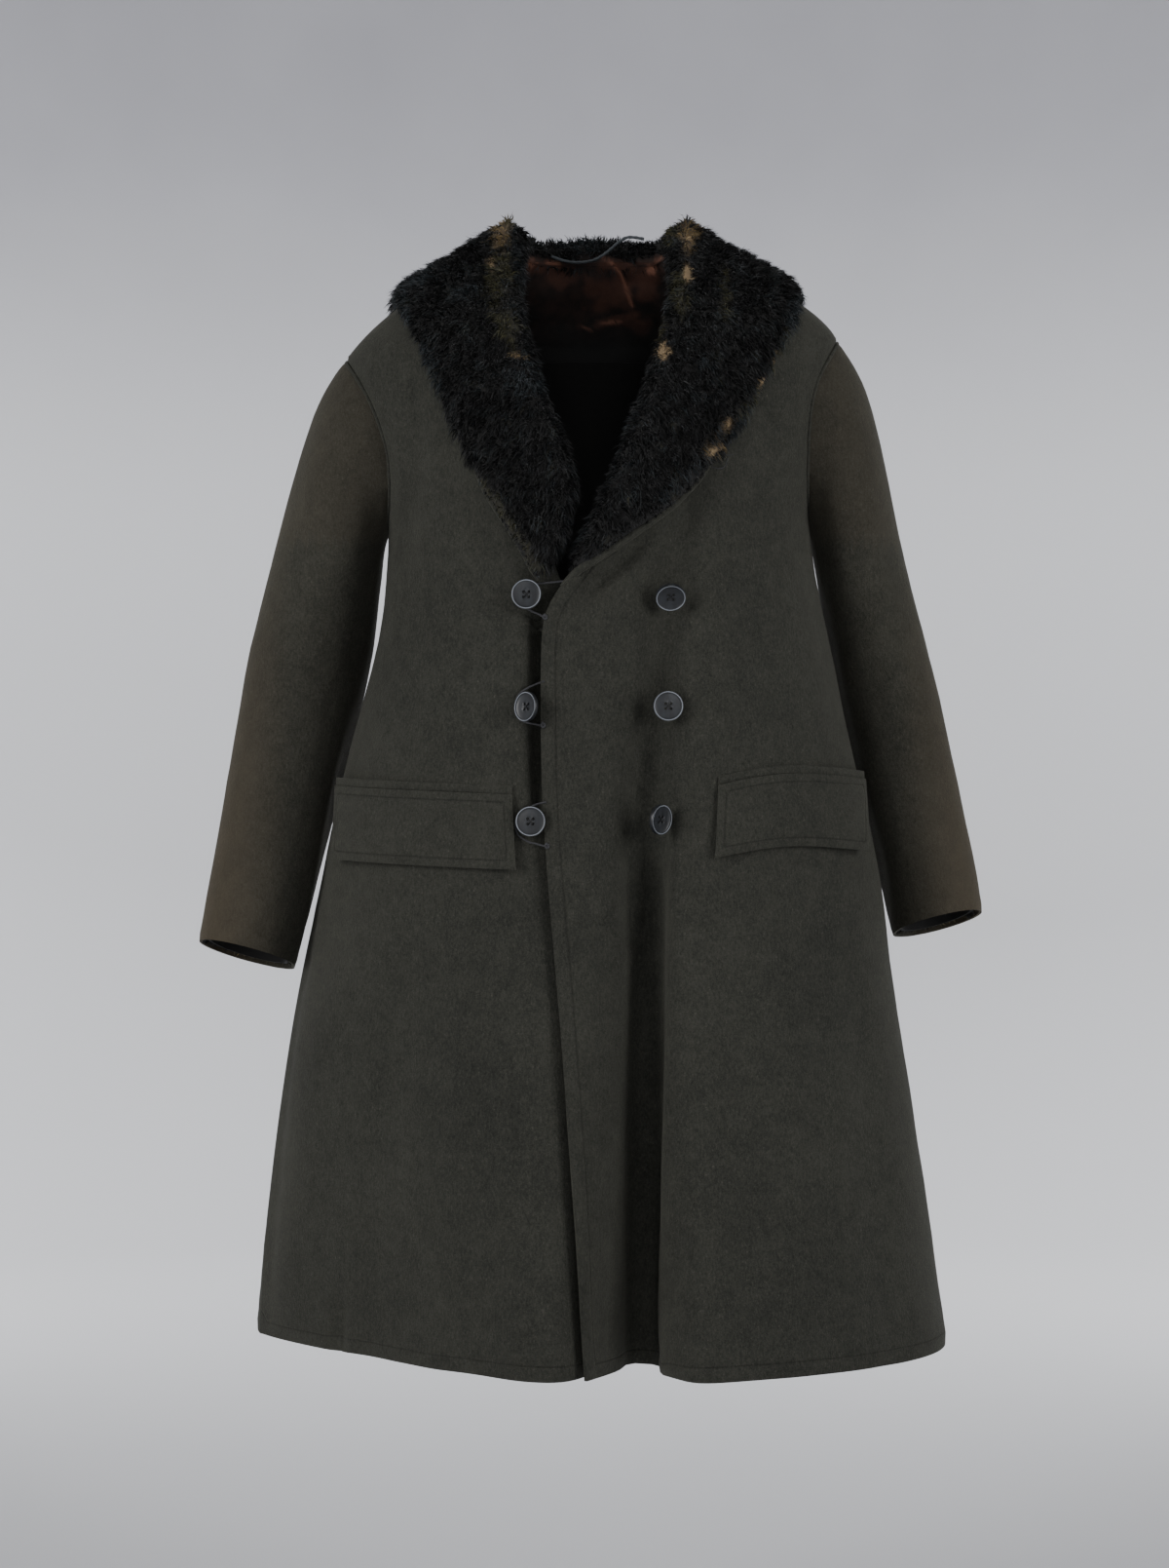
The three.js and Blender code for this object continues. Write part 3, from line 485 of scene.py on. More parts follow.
def soft_wave(obj, height, scale, seed, hold=None):
    """Broad unevenness over the whole piece."""
    points = points_of(obj)
    normals = normals_of(obj)
    wave = np.array([noise.noise(Vector(p * scale) + Vector((seed, 0, 0))) for p in points])
    if hold is not None:
        wave = wave * hold
    set_points(obj, points + normals * (wave * height * MM)[:, None])


def cloth_piece(name, strokes=(), free=None, thick=CLOTH, wave=1.0, smooth=2):
    """A panel's outer face, smoothed and creased. free() picks its stitched edges from the boundary."""
    bm = outer_face(name, thick)
    bmesh.ops.join_triangles(
        bm, faces=bm.faces, angle_face_threshold=math.pi, angle_shape_threshold=math.pi
    )
    obj = as_object(bm, "cloth_" + name)
    apply_modifier(obj, "SUBSURF", levels=smooth, render_levels=smooth, boundary_smooth="PRESERVE_CORNERS")
    points = points_of(obj)
    border = points[boundary_mask(obj)]
    hold = np.clip(distance_to(points, border) / 0.012, 0, 1)
    soft_wave(obj, wave, 17, 3.0, hold)
    soft_wave(obj, wave * 0.45, 41, 8.0, hold)
    loose = free(border) if free else np.zeros(len(border), bool)
    sewn = border[~loose]
    press(obj, strokes, np.clip(distance_to(points, sewn) / 0.03, 0, 1) ** 1.5 if len(sewn) else 1.0)
    stitched = border[loose]
    far = np.full(len(points), 1.0)
    set_attribute(obj, "edge", distance_to(points, stitched) if len(stitched) else far)
    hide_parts(name)
    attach(obj, "root")
    return obj


def round_edge(obj, depth=1.1, reach=5.0):
    """Turns a sheet's edge down softly."""
    points = points_of(obj)
    edge = distance_to(points, points[boundary_mask(obj)])
    drop = depth * MM * (1 - np.clip(edge / (reach * MM), 0, 1)) ** 2
    set_points(obj, points - normals_of(obj) * drop[:, None])


def raise_band(obj, height=0.7, reach=14.2):
    """The doubled cloth between a stitched edge and its stitch line stands a little higher."""
    points = points_of(obj)
    edge = np.empty(len(points))
    obj.data.attributes["edge"].data.foreach_get("value", edge)
    lift = height * MM * np.clip((reach * MM - edge) / 0.002, 0, 1)
    set_points(obj, points + normals_of(obj) * lift[:, None])


def thicken(obj, paint, thick=CLOTH):
    apply_modifier(obj, "SOLIDIFY", thickness=thick, offset=-1, use_rim=True, use_even_offset=False)
    only(obj)
    bpy.ops.object.shade_smooth_by_angle(angle=math.radians(50))
    obj.data.materials.clear()
    obj.data.materials.append(paint)
    return obj


# Fur: short, dense and clumped, as many narrow blades joined into one mesh a piece

def scatter(obj, count, keep=lambda face: True):
    """Points spread evenly over the faces that keep() accepts, with their normals."""
    bm = bmesh.new()
    bm.from_mesh(obj.data)
    bm.normal_update()
    bmesh.ops.triangulate(bm, faces=bm.faces)
    faces = [f for f in bm.faces if keep(f)]
    corners = np.array([[v.co[:] for v in f.verts] for f in faces])
    corner_normals = np.array([[v.normal[:] for v in f.verts] for f in faces])
    areas = np.array([f.calc_area() for f in faces])
    bm.free()
    pick = rng.choice(len(faces), count, p=areas / areas.sum())
    a, b = rng.random(count), rng.random(count)
    over = a + b > 1
    a[over], b[over] = 1 - a[over], 1 - b[over]
    weights = np.stack([1 - a - b, a, b], axis=1)[:, :, None]
    points = (corners[pick] * weights).sum(axis=1)
    directions = (corner_normals[pick] * weights).sum(axis=1)
    return points, unit(directions)


def unit(vectors):
    return vectors / np.maximum(np.linalg.norm(vectors, axis=1), 1e-9)[:, None]


def uneven(points):
    """Noise at each of the points."""
    return np.array([noise.noise(Vector(p)) for p in points])


def blob(flat, centre, reach, turn=0.0):
    """1 inside a soft, uneven spot of the picture and 0 outside it."""
    c, s = math.cos(math.radians(turn)), math.sin(math.radians(turn))
    x, y = flat[:, 0] - centre[0], flat[:, 1] - centre[1]
    along, across = x * c + y * s, y * c - x * s
    gap = np.sqrt((along / reach[0]) ** 2 + (across / reach[1]) ** 2)
    ragged = uneven(np.c_[flat * 0.09, np.full(len(flat), 2.0)])
    return np.clip((1.15 - gap + ragged * 0.6) * 1.9, 0, 1)


def band(flat, path, half):
    """1 along an uneven strip of the picture and 0 away from it."""
    gap = along_path(flat, np.array(path, float))[0] / half
    ragged = uneven(np.c_[flat * 0.07, np.full(len(flat), 5.0)])
    return np.clip((1.1 - gap + ragged * 1.0) * 1.6, 0, 1)


def fur(name, roots, normals, length, width, comb, paint, thin=None, facts=None, spread=0.3, clump=0.011):
    """One blade a root: two joints and a point, leaning to its clump and a little with the comb."""
    count = len(roots)
    if thin is not None:
        stay = rng.random(count) > thin * 0.6
        roots, normals = roots[stay], normals[stay]
        thin = thin[stay]
        facts = {key: value[stay] for key, value in (facts or {}).items()}
        count = len(roots)
    centres = roots[rng.permutation(count)[: max(8, int(count * 0.035))]]
    own = nearest(roots, centres)[0]
    to_clump = centres[own] - roots
    clump_height = rng.normal(1.0, 0.16, len(centres))[own]
    clump_lean = unit(rng.normal(0, 1, (len(centres), 3)))[own]
    size = length * clump_height * rng.uniform(0.72, 1.18, count)
    if thin is not None:
        size = size * (1 - 0.62 * thin)
    lean = comb(roots) if callable(comb) else np.tile(np.array(comb, float), (count, 1))
    lean = lean - normals * (lean * normals).sum(axis=1)[:, None]
    stray = rng.normal(0, 1, (count, 3))
    aim = unit(normals * 0.8 + lean * 0.5 + clump_lean * spread + stray * 0.24 + to_clump / clump * 0.5)
    below = (aim * normals).sum(axis=1)
    aim = unit(aim + normals * np.clip(0.25 - below, 0, 1)[:, None])
    bend = unit(np.cross(aim, rng.normal(0, 1, (count, 3))))
    side = unit(np.cross(aim, rng.normal(0, 1, (count, 3))))
    half = (width * rng.uniform(0.7, 1.3, count) / 2)[:, None]
    arch = (size * rng.uniform(0.06, 0.24, count))[:, None]
    step = aim * size[:, None]
    middle = roots + step * 0.52 + bend * arch
    tip = roots + step + (lean * 0.3 - np.array([0, 0, 0.12])) * size[:, None]
    edge = side * half
    blade = [roots - edge, roots + edge, middle + edge * 0.8, middle - edge * 0.8, tip]
    verts = np.stack(blade, axis=1)
    base = np.arange(count)[:, None] * 5
    quads = base + np.array([0, 1, 2, 3])
    tris = base + np.array([3, 2, 4])
    data = bpy.data.meshes.new(name)
    data.vertices.add(count * 5)
    data.vertices.foreach_set("co", verts.astype(np.float32).ravel())
    loops = np.concatenate([quads, tris], axis=1).ravel()
    data.loops.add(len(loops))
    data.loops.foreach_set("vertex_index", loops.astype(np.int32))
    starts = np.stack([np.arange(count) * 7, np.arange(count) * 7 + 4], axis=1).ravel()
    data.polygons.add(len(starts))
    data.polygons.foreach_set("loop_start", starts.astype(np.int32))
    data.update(calc_edges=True)
    data.validate()
    obj = placed(name, data)
    set_attribute(obj, "height", np.tile([0.0, 0.0, 0.6, 0.6, 1.0], count))
    set_attribute(obj, "shade", np.repeat(rng.random(count) * 0.6 + rng.random(len(centres))[own] * 0.4, 5))
    for key, value in (facts or {}).items():
        set_attribute(obj, key, np.repeat(value, 5))
    data.materials.append(paint)
    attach(obj, "root")
    return obj


def no_wear_nor_sheen(count):
    """The fur's worn colours and its painted grey-blue sheen, none of them here."""
    return {key: np.zeros(count) for key in ("olive", "tan", "cream", "blue")}


def lining_tone(paint, cloudy, fine):
    """Worn brown lining with rust and pink places, and painted shade that turns it nearly black lower down.
    """
    shade = paint.mix(cloudy.step(0.3, 0.7), colour("#120d0c"), colour("#2c1f1a"))
    shade = paint.mix(paint.attribute("rust") * (0.1 + cloudy * 0.5 + fine * 0.5), shade, colour("#56372b"))
    # Pink: paler wear, and painted highlight along the raised seam and the folds.
    shade = paint.mix(paint.attribute("pink") * (0.3 + fine * 0.7), shade, colour("#9c6a55"))
    # Painted shade: nearly black towards the bottom of the neck.
    return paint.mix(paint.attribute("painted_shade_below"), shade, colour("#050504"))


def hide_paint():
    """The hide under the fur: dark, pale where the fur is worn off, and lining at the stand's foot."""
    paint = Paint("worn_hide")
    cloudy = paint.noise(120, 3)
    tone = paint.mix(cloudy, colour("#060606"), colour("#100f0d"))
    for key, code in (("olive", "#2c2a1c"), ("tan", "#5a4a34"), ("cream", "#8f795a")):
        tone = paint.mix(paint.attribute(key) * (0.4 + cloudy * 0.5), tone, colour(code))
    lining = lining_tone(paint, paint.noise(45, 4, 0.65), paint.noise(500, 3, 0.7))
    tone = paint.mix(paint.attribute("lined"), tone, paint.mix(0.4, lining, colour("#050404")))
    return paint.finish(Base_Color=tone, Roughness=0.9, Normal=paint.bump(cloudy, 0.5, 0.001))


# Colours of the worn fur; blue is a painted sheen, a highlight, not wear.
WORN_AND_SHEEN_COLOURS = {
    "olive": "#47452f",
    "tan": "#84714f",
    "cream": "#b09a78",
    "blue": "#33393c",
    "rust": "#5c392c",
}


def fur_paint(name, root, tip):
    """Black fur; tan, olive, cream and rust are where it's worn, and blue is a painted grey-blue sheen."""
    paint = Paint(name)
    height = paint.attribute("height")
    shade = paint.attribute("shade")
    cloudy = paint.noise(42, 3, 0.6)
    lively = (height * 0.6 + shade * 0.5).step(0.1, 1.0) * (0.25 + cloudy.step(0.40, 0.62) * 0.75)
    tone = paint.mix(lively, colour(root), colour(tip))
    for key, code in WORN_AND_SHEEN_COLOURS.items():
        tone = paint.mix(paint.attribute(key) * (0.5 + shade * 0.5), tone, colour(code))
    return paint.finish(
        Base_Color=tone,
        Roughness=0.5,
        Specular_IOR_Level=0.22,
        Sheen_Weight=0.06,
        Sheen_Roughness=0.4,
    )


# Worn places of the collar, and blue places of painted sheen on its rolls and outer edges, as they lie in the
# picture: centre, half sizes, turn
WORN_AND_SHEEN = {
    "tan": [
        ((514, 240), (9, 20), 12), ((533, 365), (11, 2.5), 8), ((706, 243), (10, 15), 0),
        ((782, 392), (5, 12), 35), ((743, 438), (6, 8), 30), ((731, 461), (12, 6), -28),
        ((795, 369), (4, 9), 35),
    ],
    "cream": [
        ((705, 281), (4, 11), 0), ((680, 359), (6, 10), 8), ((731, 462), (8, 3.5), -30),
        ((782, 392), (3, 8), 35), ((504, 268), (3, 7), 0), ((747, 434), (3, 5), 30),
        ((707, 246), (3, 5), 0),
    ],
    "olive": [
        ((512, 285), (14, 34), 8), ((520, 335), (12, 22), -10), ((743, 305), (5, 30), 0),
        ((700, 300), (9, 30), 5), ((776, 407), (8, 10), 35), ((690, 240), (12, 12), 0),
        ((680, 335), (8, 16), 10), ((515, 228), (12, 9), 0),
    ],
    # Blue: painted grey-blue sheen on the outer edges and the top.
    "blue": [
        ((536, 390), (24, 20), 20), ((436, 284), (24, 12), -30), ((420, 320), (6, 26), 0),
        ((445, 370), (8, 30), -20), ((722, 371), (11, 8), 0), ((812, 320), (12, 22), 20),
        ((640, 430), (16, 22), 30), ((480, 300), (18, 10), -30), ((598, 252), (30, 8), 0),
    ],
}
# Strips of the same, path and half width: the blue strips are painted sheen along the rolls.
WORN_AND_SHEEN_STRIPS = {
    "blue": [
        ([(527, 256), (543, 329), (560, 374), (572, 419), (587, 455), (594, 488)], 9),
        (
            [(698, 299), (683, 320), (672, 350), (657, 385), (652, 410), (635, 464), (611, 518), (590, 566)],
            4.5,
        ),
        ([(806, 344), (790, 375), (765, 418), (735, 452), (704, 484), (674, 512)], 9),
    ],
    "olive": [
        ([(808, 340), (797, 366), (781, 394), (758, 424)], 6),
        ([(494, 495), (512, 518), (524, 537), (539, 558), (550, 580)], 6.5),
    ],
    "tan": [([(748, 432), (728, 458)], 4)],
}


def spots(flat, places):
    """1 in any of these spots."""
    total = np.zeros(len(flat))
    for centre, reach, turn in places:
        total = np.maximum(total, blob(flat, centre, reach, turn))
    return total


def worn_and_sheen_facts(points):
    """How worn each place of the collar's front is, by colour, and how much painted grey-blue sheen it has.
    """
    flat = in_picture(points)
    front = points[:, 1] < 0.10
    facts = {}
    for key, places in WORN_AND_SHEEN.items():
        total = spots(flat, places)
        for path, half in WORN_AND_SHEEN_STRIPS.get(key, ()):
            total = np.maximum(total, 0.8 * band(flat, path, half))
        facts[key] = total * front
    return facts


def speckled(facts):
    """Worn places and painted sheen by single blades: some are pale and some still black."""
    return {key: value * (rng.random(len(value)) < 0.2 + 0.55 * value) for key, value in facts.items()}


# The cloth's pieces, their creases and their stitched edges

wool_body = wool("olive_wool", "#1c1d1a", "#3b3b35")
# The sleeves' wool: faded, and painted lighter where the side and top lamps fall on it.
wool_sleeve = wool("olive_wool_faded_and_lit", "#1f1f1b", "#3d3c35", "#4a4134")

FRONT_LEFT = [
    (
        "picture",
        [(710, 478), (700, 560), (688, 620), (677, 690), (667, 760), (657, 850), (654, 985)],
        -14,
        17,
    ),
    ("picture", [(668, 860), (664, 1000), (662, 1150), (662, 1290), (661, 1400)], -18, 15),
    ("picture", [(694, 850), (692, 1060), (685, 1250), (679, 1330), (685, 1405)], 9, 10),
    ("picture", [(668, 552), (640, 576), (612, 600), (592, 626)], -8, 8),
    ("picture", [(671, 596), (670, 612), (672, 632)], -3, 7),
    ("picture", [(707, 598), (708, 612), (706, 628)], -3, 6),
    ("picture", [(600, 640), (612, 690), (610, 760)], 2.5, 16),
    ("picture", [(792, 405), (783, 440), (776, 500), (770, 570)], -3, 14),
    ("picture", [(740, 560), (742, 660), (735, 760)], 3, 20),
    ("picture", [(845, 455), (846, 520), (862, 600)], -3, 9),
    ("picture", [(800, 900), (808, 1060), (815, 1240), (818, 1400)], 4, 30),
    ("picture", [(752, 960), (752, 1120), (748, 1280), (745, 1405)], -3.5, 22),
    ("picture", [(872, 930), (890, 1100), (905, 1260), (915, 1395)], -4, 24),
    ("picture", [(720, 1385), (760, 1392), (800, 1388)], 1.5, 10),
    ("left", [(20, -560), (45, -760), (60, -1040)], -6, 26),
]
FRONT_RIGHT = [
    ("picture", [(556, 585), (553, 660), (552, 750), (553, 850)], -15, 5.5),
    ("picture", [(424, 380), (427, 450), (420, 520), (412, 600)], -4, 12),
    ("picture", [(398, 480), (392, 560), (384, 640)], -2.5, 8),
    ("picture", [(470, 520), (455, 620), (450, 740)], 2.5, 22),
    ("picture", [(348, 1325), (348, 1350), (346, 1383)], -6, 5),
    ("picture", [(478, 930), (470, 1080), (462, 1250), (455, 1400)], 5, 30),
    ("picture", [(415, 960), (398, 1120), (385, 1260), (375, 1390)], -4, 24),
    ("picture", [(540, 1000), (548, 1200), (556, 1418)], -3, 18),
    ("picture", [(330, 1000), (310, 1160), (290, 1380)], 3.5, 20),
    ("right", [(20, -560), (48, -780), (66, -1040)], -6, 26),
]
BACK = [
    ("back", [(-60, -180), (-72, -420), (-92, -700), (-108, -1040)], 5, 34),
    ("back", [(70, -200), (82, -460), (100, -740), (112, -1040)], 5, 34),
    ("back", [(-190, -420), (-214, -640), (-236, -1040)], -7, 26),
    ("back", [(196, -400), (218, -660), (240, -1040)], -7, 26),
    ("back", [(0, -150), (-2, -300), (2, -430)], -4, 14),
    ("back", [(-175, -120), (-160, -170), (-150, -240)], -3, 10),
    ("back", [(178, -110), (164, -160), (154, -230)], -3, 10),
    ("back", [(-150, -330), (-60, -350), (60, -345), (150, -325)], -2.5, 14),
    ("left", [(90, -520), (110, -760), (124, -1040)], 5, 24),
    ("right", [(92, -520), (112, -760), (126, -1040)], 5, 24),
]
SLEEVE_RIGHT = [
    ("picture", [(372, 640), (345, 690), (318, 712)], -2.8, 8),
    ("picture", [(345, 735), (318, 752), (290, 752)], -3.2, 8),
    ("picture", [(330, 790), (300, 806), (268, 800)], -2.6, 9),
    ("picture", [(352, 400), (330, 470), (318, 560)], 3, 16),
    ("picture", [(390, 470), (378, 560), (372, 620)], -3.5, 9),
    ("picture", [(236, 900), (262, 890), (286, 905)], -1.8, 8),
    ("back", [(-232, -300), (-285, -330), (-330, -335)], -3.5, 9),
    ("back", [(-245, -350), (-295, -385), (-345, -385)], -3.5, 9),
    ("back", [(-262, -420), (-310, -450), (-352, -440)], -2.5, 9),
    ("back", [(-215, -200), (-245, -260), (-290, -290)], -2.5, 10),
]
SLEEVE_LEFT = [
    ("picture", [(858, 640), (884, 676), (908, 690)], -2.8, 8),
    ("picture", [(880, 712), (906, 736), (938, 738)], -3.2, 8),
    ("picture", [(898, 772), (926, 790), (958, 782)], -2.6, 9),
    ("picture", [(868, 392), (890, 460), (902, 560)], 3, 16),
    ("picture", [(836, 460), (846, 545), (852, 610)], -3.5, 9),
    ("picture", [(930, 850), (962, 842), (985, 850)], -1.8, 8),
    ("back", [(232, -285), (280, -315), (322, -318)], -3.5, 9),
    ("back", [(246, -335), (292, -368), (338, -366)], -3.5, 9),
    ("back", [(262, -402), (305, -430), (345, -420)], -2.5, 9),
    ("back", [(215, -190), (245, -245), (285, -275)], -2.5, 10),
]


def hem_and_front(border):
    """The hem and the front edge, up to the collar."""
    seen = in_picture(border)
    hem = border[:, 2] < -1.03
    front = (np.abs(border[:, 0]) < 0.075) & (border[:, 1] < -0.05) & (seen[:, 1] > 470)
    return hem | front


def lapel_too(border):
    """The left front's stitched edge goes on up the lapel."""
    seen = in_picture(border)
    lapel = (border[:, 1] < -0.10) & (border[:, 2] < -0.13) & (seen[:, 0] < 745)
    return hem_and_front(border) | lapel


def hem_only(border):
    return border[:, 2] < -1.03


def cuff_edge(border):
    """The lower end of a sleeve's piece."""
    return border[:, 2] < border[:, 2].min() + 0.045


PANELS = {
    "front_left": (FRONT_LEFT, lapel_too),
    "front_right": (FRONT_RIGHT, hem_only),
    "back": (BACK, hem_only),
    "sleeve_top_right": (SLEEVE_RIGHT, cuff_edge),
    "sleeve_under_right": (SLEEVE_RIGHT, cuff_edge),
    "sleeve_top_left": (SLEEVE_LEFT, cuff_edge),
    "sleeve_under_left": (SLEEVE_LEFT, cuff_edge),
}
panels = {}
for name, (strokes, free) in PANELS.items():
    obj = cloth_piece(name, strokes, free)
    points = points_of(obj)
    if "sleeve" in name:
        set_attribute(obj, "edge", np.full(len(points), 1.0))
        # The attribute worn: faded wool and painted light, on the sleeves' outer sides and, less, on their
        # upper part.
        outside = np.clip((np.abs(points[:, 0]) - 0.30) / 0.09, 0, 1)
        set_attribute(obj, "worn", np.clip(outside + 0.25 * (points[:, 2] > -0.25), 0, 1))
    else:
        raise_band(obj)
    round_edge(obj)
    panels[name] = thicken(obj, wool_sleeve if "sleeve" in name else wool_body)


def whole_border(border):
    return border[:, 2] < 9


for name in ("flap_right", "flap_left", "welt_right", "welt_left"):
    welt = name.startswith("welt")
    obj = cloth_piece(name, (), None if welt else whole_border, 1.6 * MM if welt else CLOTH, 0.4)
    if not welt:
        points = points_of(obj)
        set_attribute(obj, "edge", distance_to(points, points[boundary_mask(obj)]) + 0.006)
    round_edge(obj, 0.9, 4.0)
    panels[name] = thicken(obj, wool_body, 1.6 * MM if welt else CLOTH)


# The collar: a skin under the fur, and the fur

black_fur = fur_paint("black_fur", "#030303", "#272727")
hide = hide_paint()
LEFT_LAPEL = [
    (729, 478), (712, 497), (690, 519), (665, 538), (640, 555), (614, 573), (596, 584), (583, 594),
    (575, 602),
]
RIGHT_LAPEL = [(487, 484), (496, 500), (507, 519), (520, 539), (533, 560), (545, 582), (553, 598)]


def near_lapels(points):
    """1 at the lapels' turned edges, where the fur ends."""
    flat = in_picture(points) * PIXEL
    gaps = [along_path(flat, np.array(path, float) * PIXEL)[0] for path in (LEFT_LAPEL, RIGHT_LAPEL)]
    near = np.minimum(*gaps)
    return np.clip((0.012 - near) / 0.006, 0, 1) * (points[:, 1] < 0)


RUST = [
    ((547, 273), (26, 8), 4), ((626, 298), (30, 20), 0), ((664, 288), (14, 22), 10),
    ((632, 328), (34, 5), -12), ((690, 262), (20, 7), -6), ((655, 335), (14, 10), 0),
    ((575, 284), (18, 12), 0), ((640, 272), (26, 9), 0),
]
# Pink places: paler worn lining, and painted highlights on the lining's fold line and top edge.
PINK = [
    ((686, 263), (16, 4), -8), ((668, 276), (5, 5), 0), ((566, 270), (9, 3), 0), ((545, 269), (8, 3), 20),
    ((627, 330), (10, 2), -10), ((604, 337), (6, 2), 20),
]
LINING_SEAM = [(617, 262), (628, 269), (637, 280), (643, 296), (649, 314)]


def lining_facts(points):
    """The rust and pink places of the neck's lining, and the raised seam over it, whose pink is a painted
    highlight.
    """
    flat = in_picture(points)
    gap, share = along_path(flat * PIXEL, np.array(LINING_SEAM, float) * PIXEL)
    seam = np.exp(-(gap / 0.0019) ** 2) * (share > 0.001) * (share < 0.999)
    return spots(flat, RUST), np.maximum(spots(flat, PINK), seam), seam


def at_stand_foot(points, normals):
    """1 on the foot of the stand's inner side, which the lining covers."""
    flat = in_picture(points)
    wave = 262 + 3 * np.sin(flat[:, 0] * 0.09)
    inside = (points[:, 1] > 0.015) & (normals[:, 1] < -0.1) & (flat[:, 0] > 526) & (flat[:, 0] < 702)
    return inside * np.clip((flat[:, 1] - wave) / 3, 0, 1)


def collar_skin(name, sink=5.5):
    """The collar's form without its fur's height: thin places give way less."""
    bm = solid_mesh(name)
    tree = BVHTree.FromBMesh(bm)
    moves = []
    for vertex in bm.verts:
        hit = tree.ray_cast(vertex.co - vertex.normal * 1e-4, -vertex.normal, 0.1)
        depth = hit[3] if hit[0] is not None else 0.02
        move = vertex.normal * min(sink * MM, depth * 0.3)
        if abs(vertex.co.x) < 3 * MM and vertex.co.y > 0:
            move.x = 0.0
        moves.append(move)
    for vertex, move in zip(bm.verts, moves):
        vertex.co -= move
        peak = math.exp(-((abs(vertex.co.x) - 0.089) / 0.021) ** 2)
        vertex.co.z += 17 * MM * peak * min(1.0, max(0.0, vertex.co.z / 0.045))
    bm.normal_update()
    obj = as_object(bm, "skin_" + name)
    apply_modifier(obj, "SUBSURF", levels=2, render_levels=2, subdivision_type="SIMPLE")
    points = points_of(obj)
    rust, pink, seam = lining_facts(points)
    facts = {**worn_and_sheen_facts(points), "rust": rust, "pink": pink}
    facts["lined"] = at_stand_foot(points, normals_of(obj))
    for key, values in facts.items():
        set_attribute(obj, key, values)
    only(obj)
    bpy.ops.object.shade_smooth()
    obj.data.materials.append(hide)
    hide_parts(name)
    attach(obj, "root")
    return obj


cloth_near = tree_of(*(nodes[name].data for name in ("front_right", "front_left", "back")))


def is_fur_side(face):
    """False on the face that lies against the cloth."""
    centre = face.calc_center_median()
    hit = cloth_near.ray_cast(centre, face.normal, 0.006)
    return hit[0] is None


def comb_collar(points):
    """The fur lies down and a little outwards over the fall, and less so along the roll and the stand."""
    lean = np.zeros_like(points)
    inside = (points[:, 1] > 0.0) & (points[:, 2] > -0.05) & (np.abs(points[:, 0]) < 0.10)
    lean[:, 0] = np.sign(points[:, 0]) * 0.25
    lean[:, 2] = np.where(inside, -0.15, -0.9)
    return lean


for name in ("collar_right", "collar_left"):
    skin = collar_skin(name)
    roots, directions = scatter(skin, 64000, is_fur_side)
    kept = rng.random(len(roots)) > at_stand_foot(roots, directions)
    roots, directions = roots[kept], directions[kept]
    facts = worn_and_sheen_facts(roots)
    bare = np.clip(facts["tan"] * 0.5 + facts["cream"] * 0.8 + facts["olive"] * 0.2, 0, 1)
    bare = np.maximum(bare, near_lapels(roots))
    # Worn colours and the painted grey-blue sheen, blade by blade.
    worn = speckled(facts)
    tufts = fur(
        "fur_" + name, roots, directions, 0.0088, 0.0012, comb_collar, black_fur, bare, worn, 0.42, 0.014
    )


# Inside the neck: dark fur, and the worn reddish lining over it

def seen_facing(name):
    """A lining shows the face towards the wearer, which is the inner one."""
    return outer_face(name, {"lining_neck": 2.0, "lining_fur": 6.0}[name] * MM, inner=True)


def lining_paint():
    paint = Paint("worn_lining")
    cloudy = paint.noise(45, 4, 0.65)
    fine = paint.noise(500, 3, 0.7)
    relief = paint.bump(fine * 0.5 + cloudy, 0.6, 0.002)
    tone = lining_tone(paint, cloudy, fine)
    return paint.finish(Base_Color=tone, Roughness=0.62, Specular_IOR_Level=0.3, Normal=relief)


def make_neck_lining():
    obj = as_object(seen_facing("lining_neck"), "lining_of_neck")
    apply_modifier(obj, "SUBSURF", levels=3, render_levels=3, boundary_smooth="PRESERVE_CORNERS")
    points = points_of(obj)
    normals = normals_of(obj)
    high = np.clip((points[:, 2] + 0.02) / 0.049, 0, 1)
    points[:, 1] -= high ** 1.1 * 13 * MM
    points[:, 2] += high ** 2 * 12 * MM
    low = np.clip((-0.042 - points[:, 2]) / 0.012, 0, 1)
    points[:, 1] -= low * 2.2 * MM
    points[:, 2] -= low * 6 * MM
    rust, pink, seam = lining_facts(points)
    folds = uneven(points * (26, 26, 60))
    edge = np.clip(distance_to(points, points[boundary_mask(obj)]) / 0.01, 0, 1)
    set_points(obj, points + normals * ((folds * 2.2 * edge + seam * 1.6) * MM)[:, None])
    set_attribute(obj, "rust", rust)
    set_attribute(obj, "pink", pink)
    # Painted shade: darker towards the bottom of the neck, deep in the coat.
    set_attribute(obj, "painted_shade_below", np.clip((in_picture(points)[:, 1] - 322) / 34, 0, 1))
    roots, directions = scatter(obj, 15000)
    rust, pink, seam = lining_facts(roots)
    low = np.clip((in_picture(roots)[:, 1] - 300) / 50, 0, 1)
    bald = np.maximum.reduce([rust * (0.95 - 0.3 * low), pink, seam * 3, 0.6 - low])
    keep = rng.random(len(roots)) > bald
    facts = no_wear_nor_sheen(int(keep.sum()))
    facts["rust"] = (rust * (rng.random(len(roots)) < 0.6))[keep]
    comb = (0, 0, -1.2)
    roots, directions = roots[keep], directions[keep]
    left = fur("fur_of_neck_lining", roots, directions, 0.0068, 0.0012, comb, black_fur, None, facts)
    thicken(obj, lining_paint(), 1.2 * MM)
    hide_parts("lining_neck")
    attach(obj, "root")
    return obj, left


# Painted light: the fur inside the back lies in deep shade, so its tips are painted much paler than the
# collar's.
lightened_fur = fur_paint("inside_fur_painted_lighter", "#060606", "#5c5c5a")


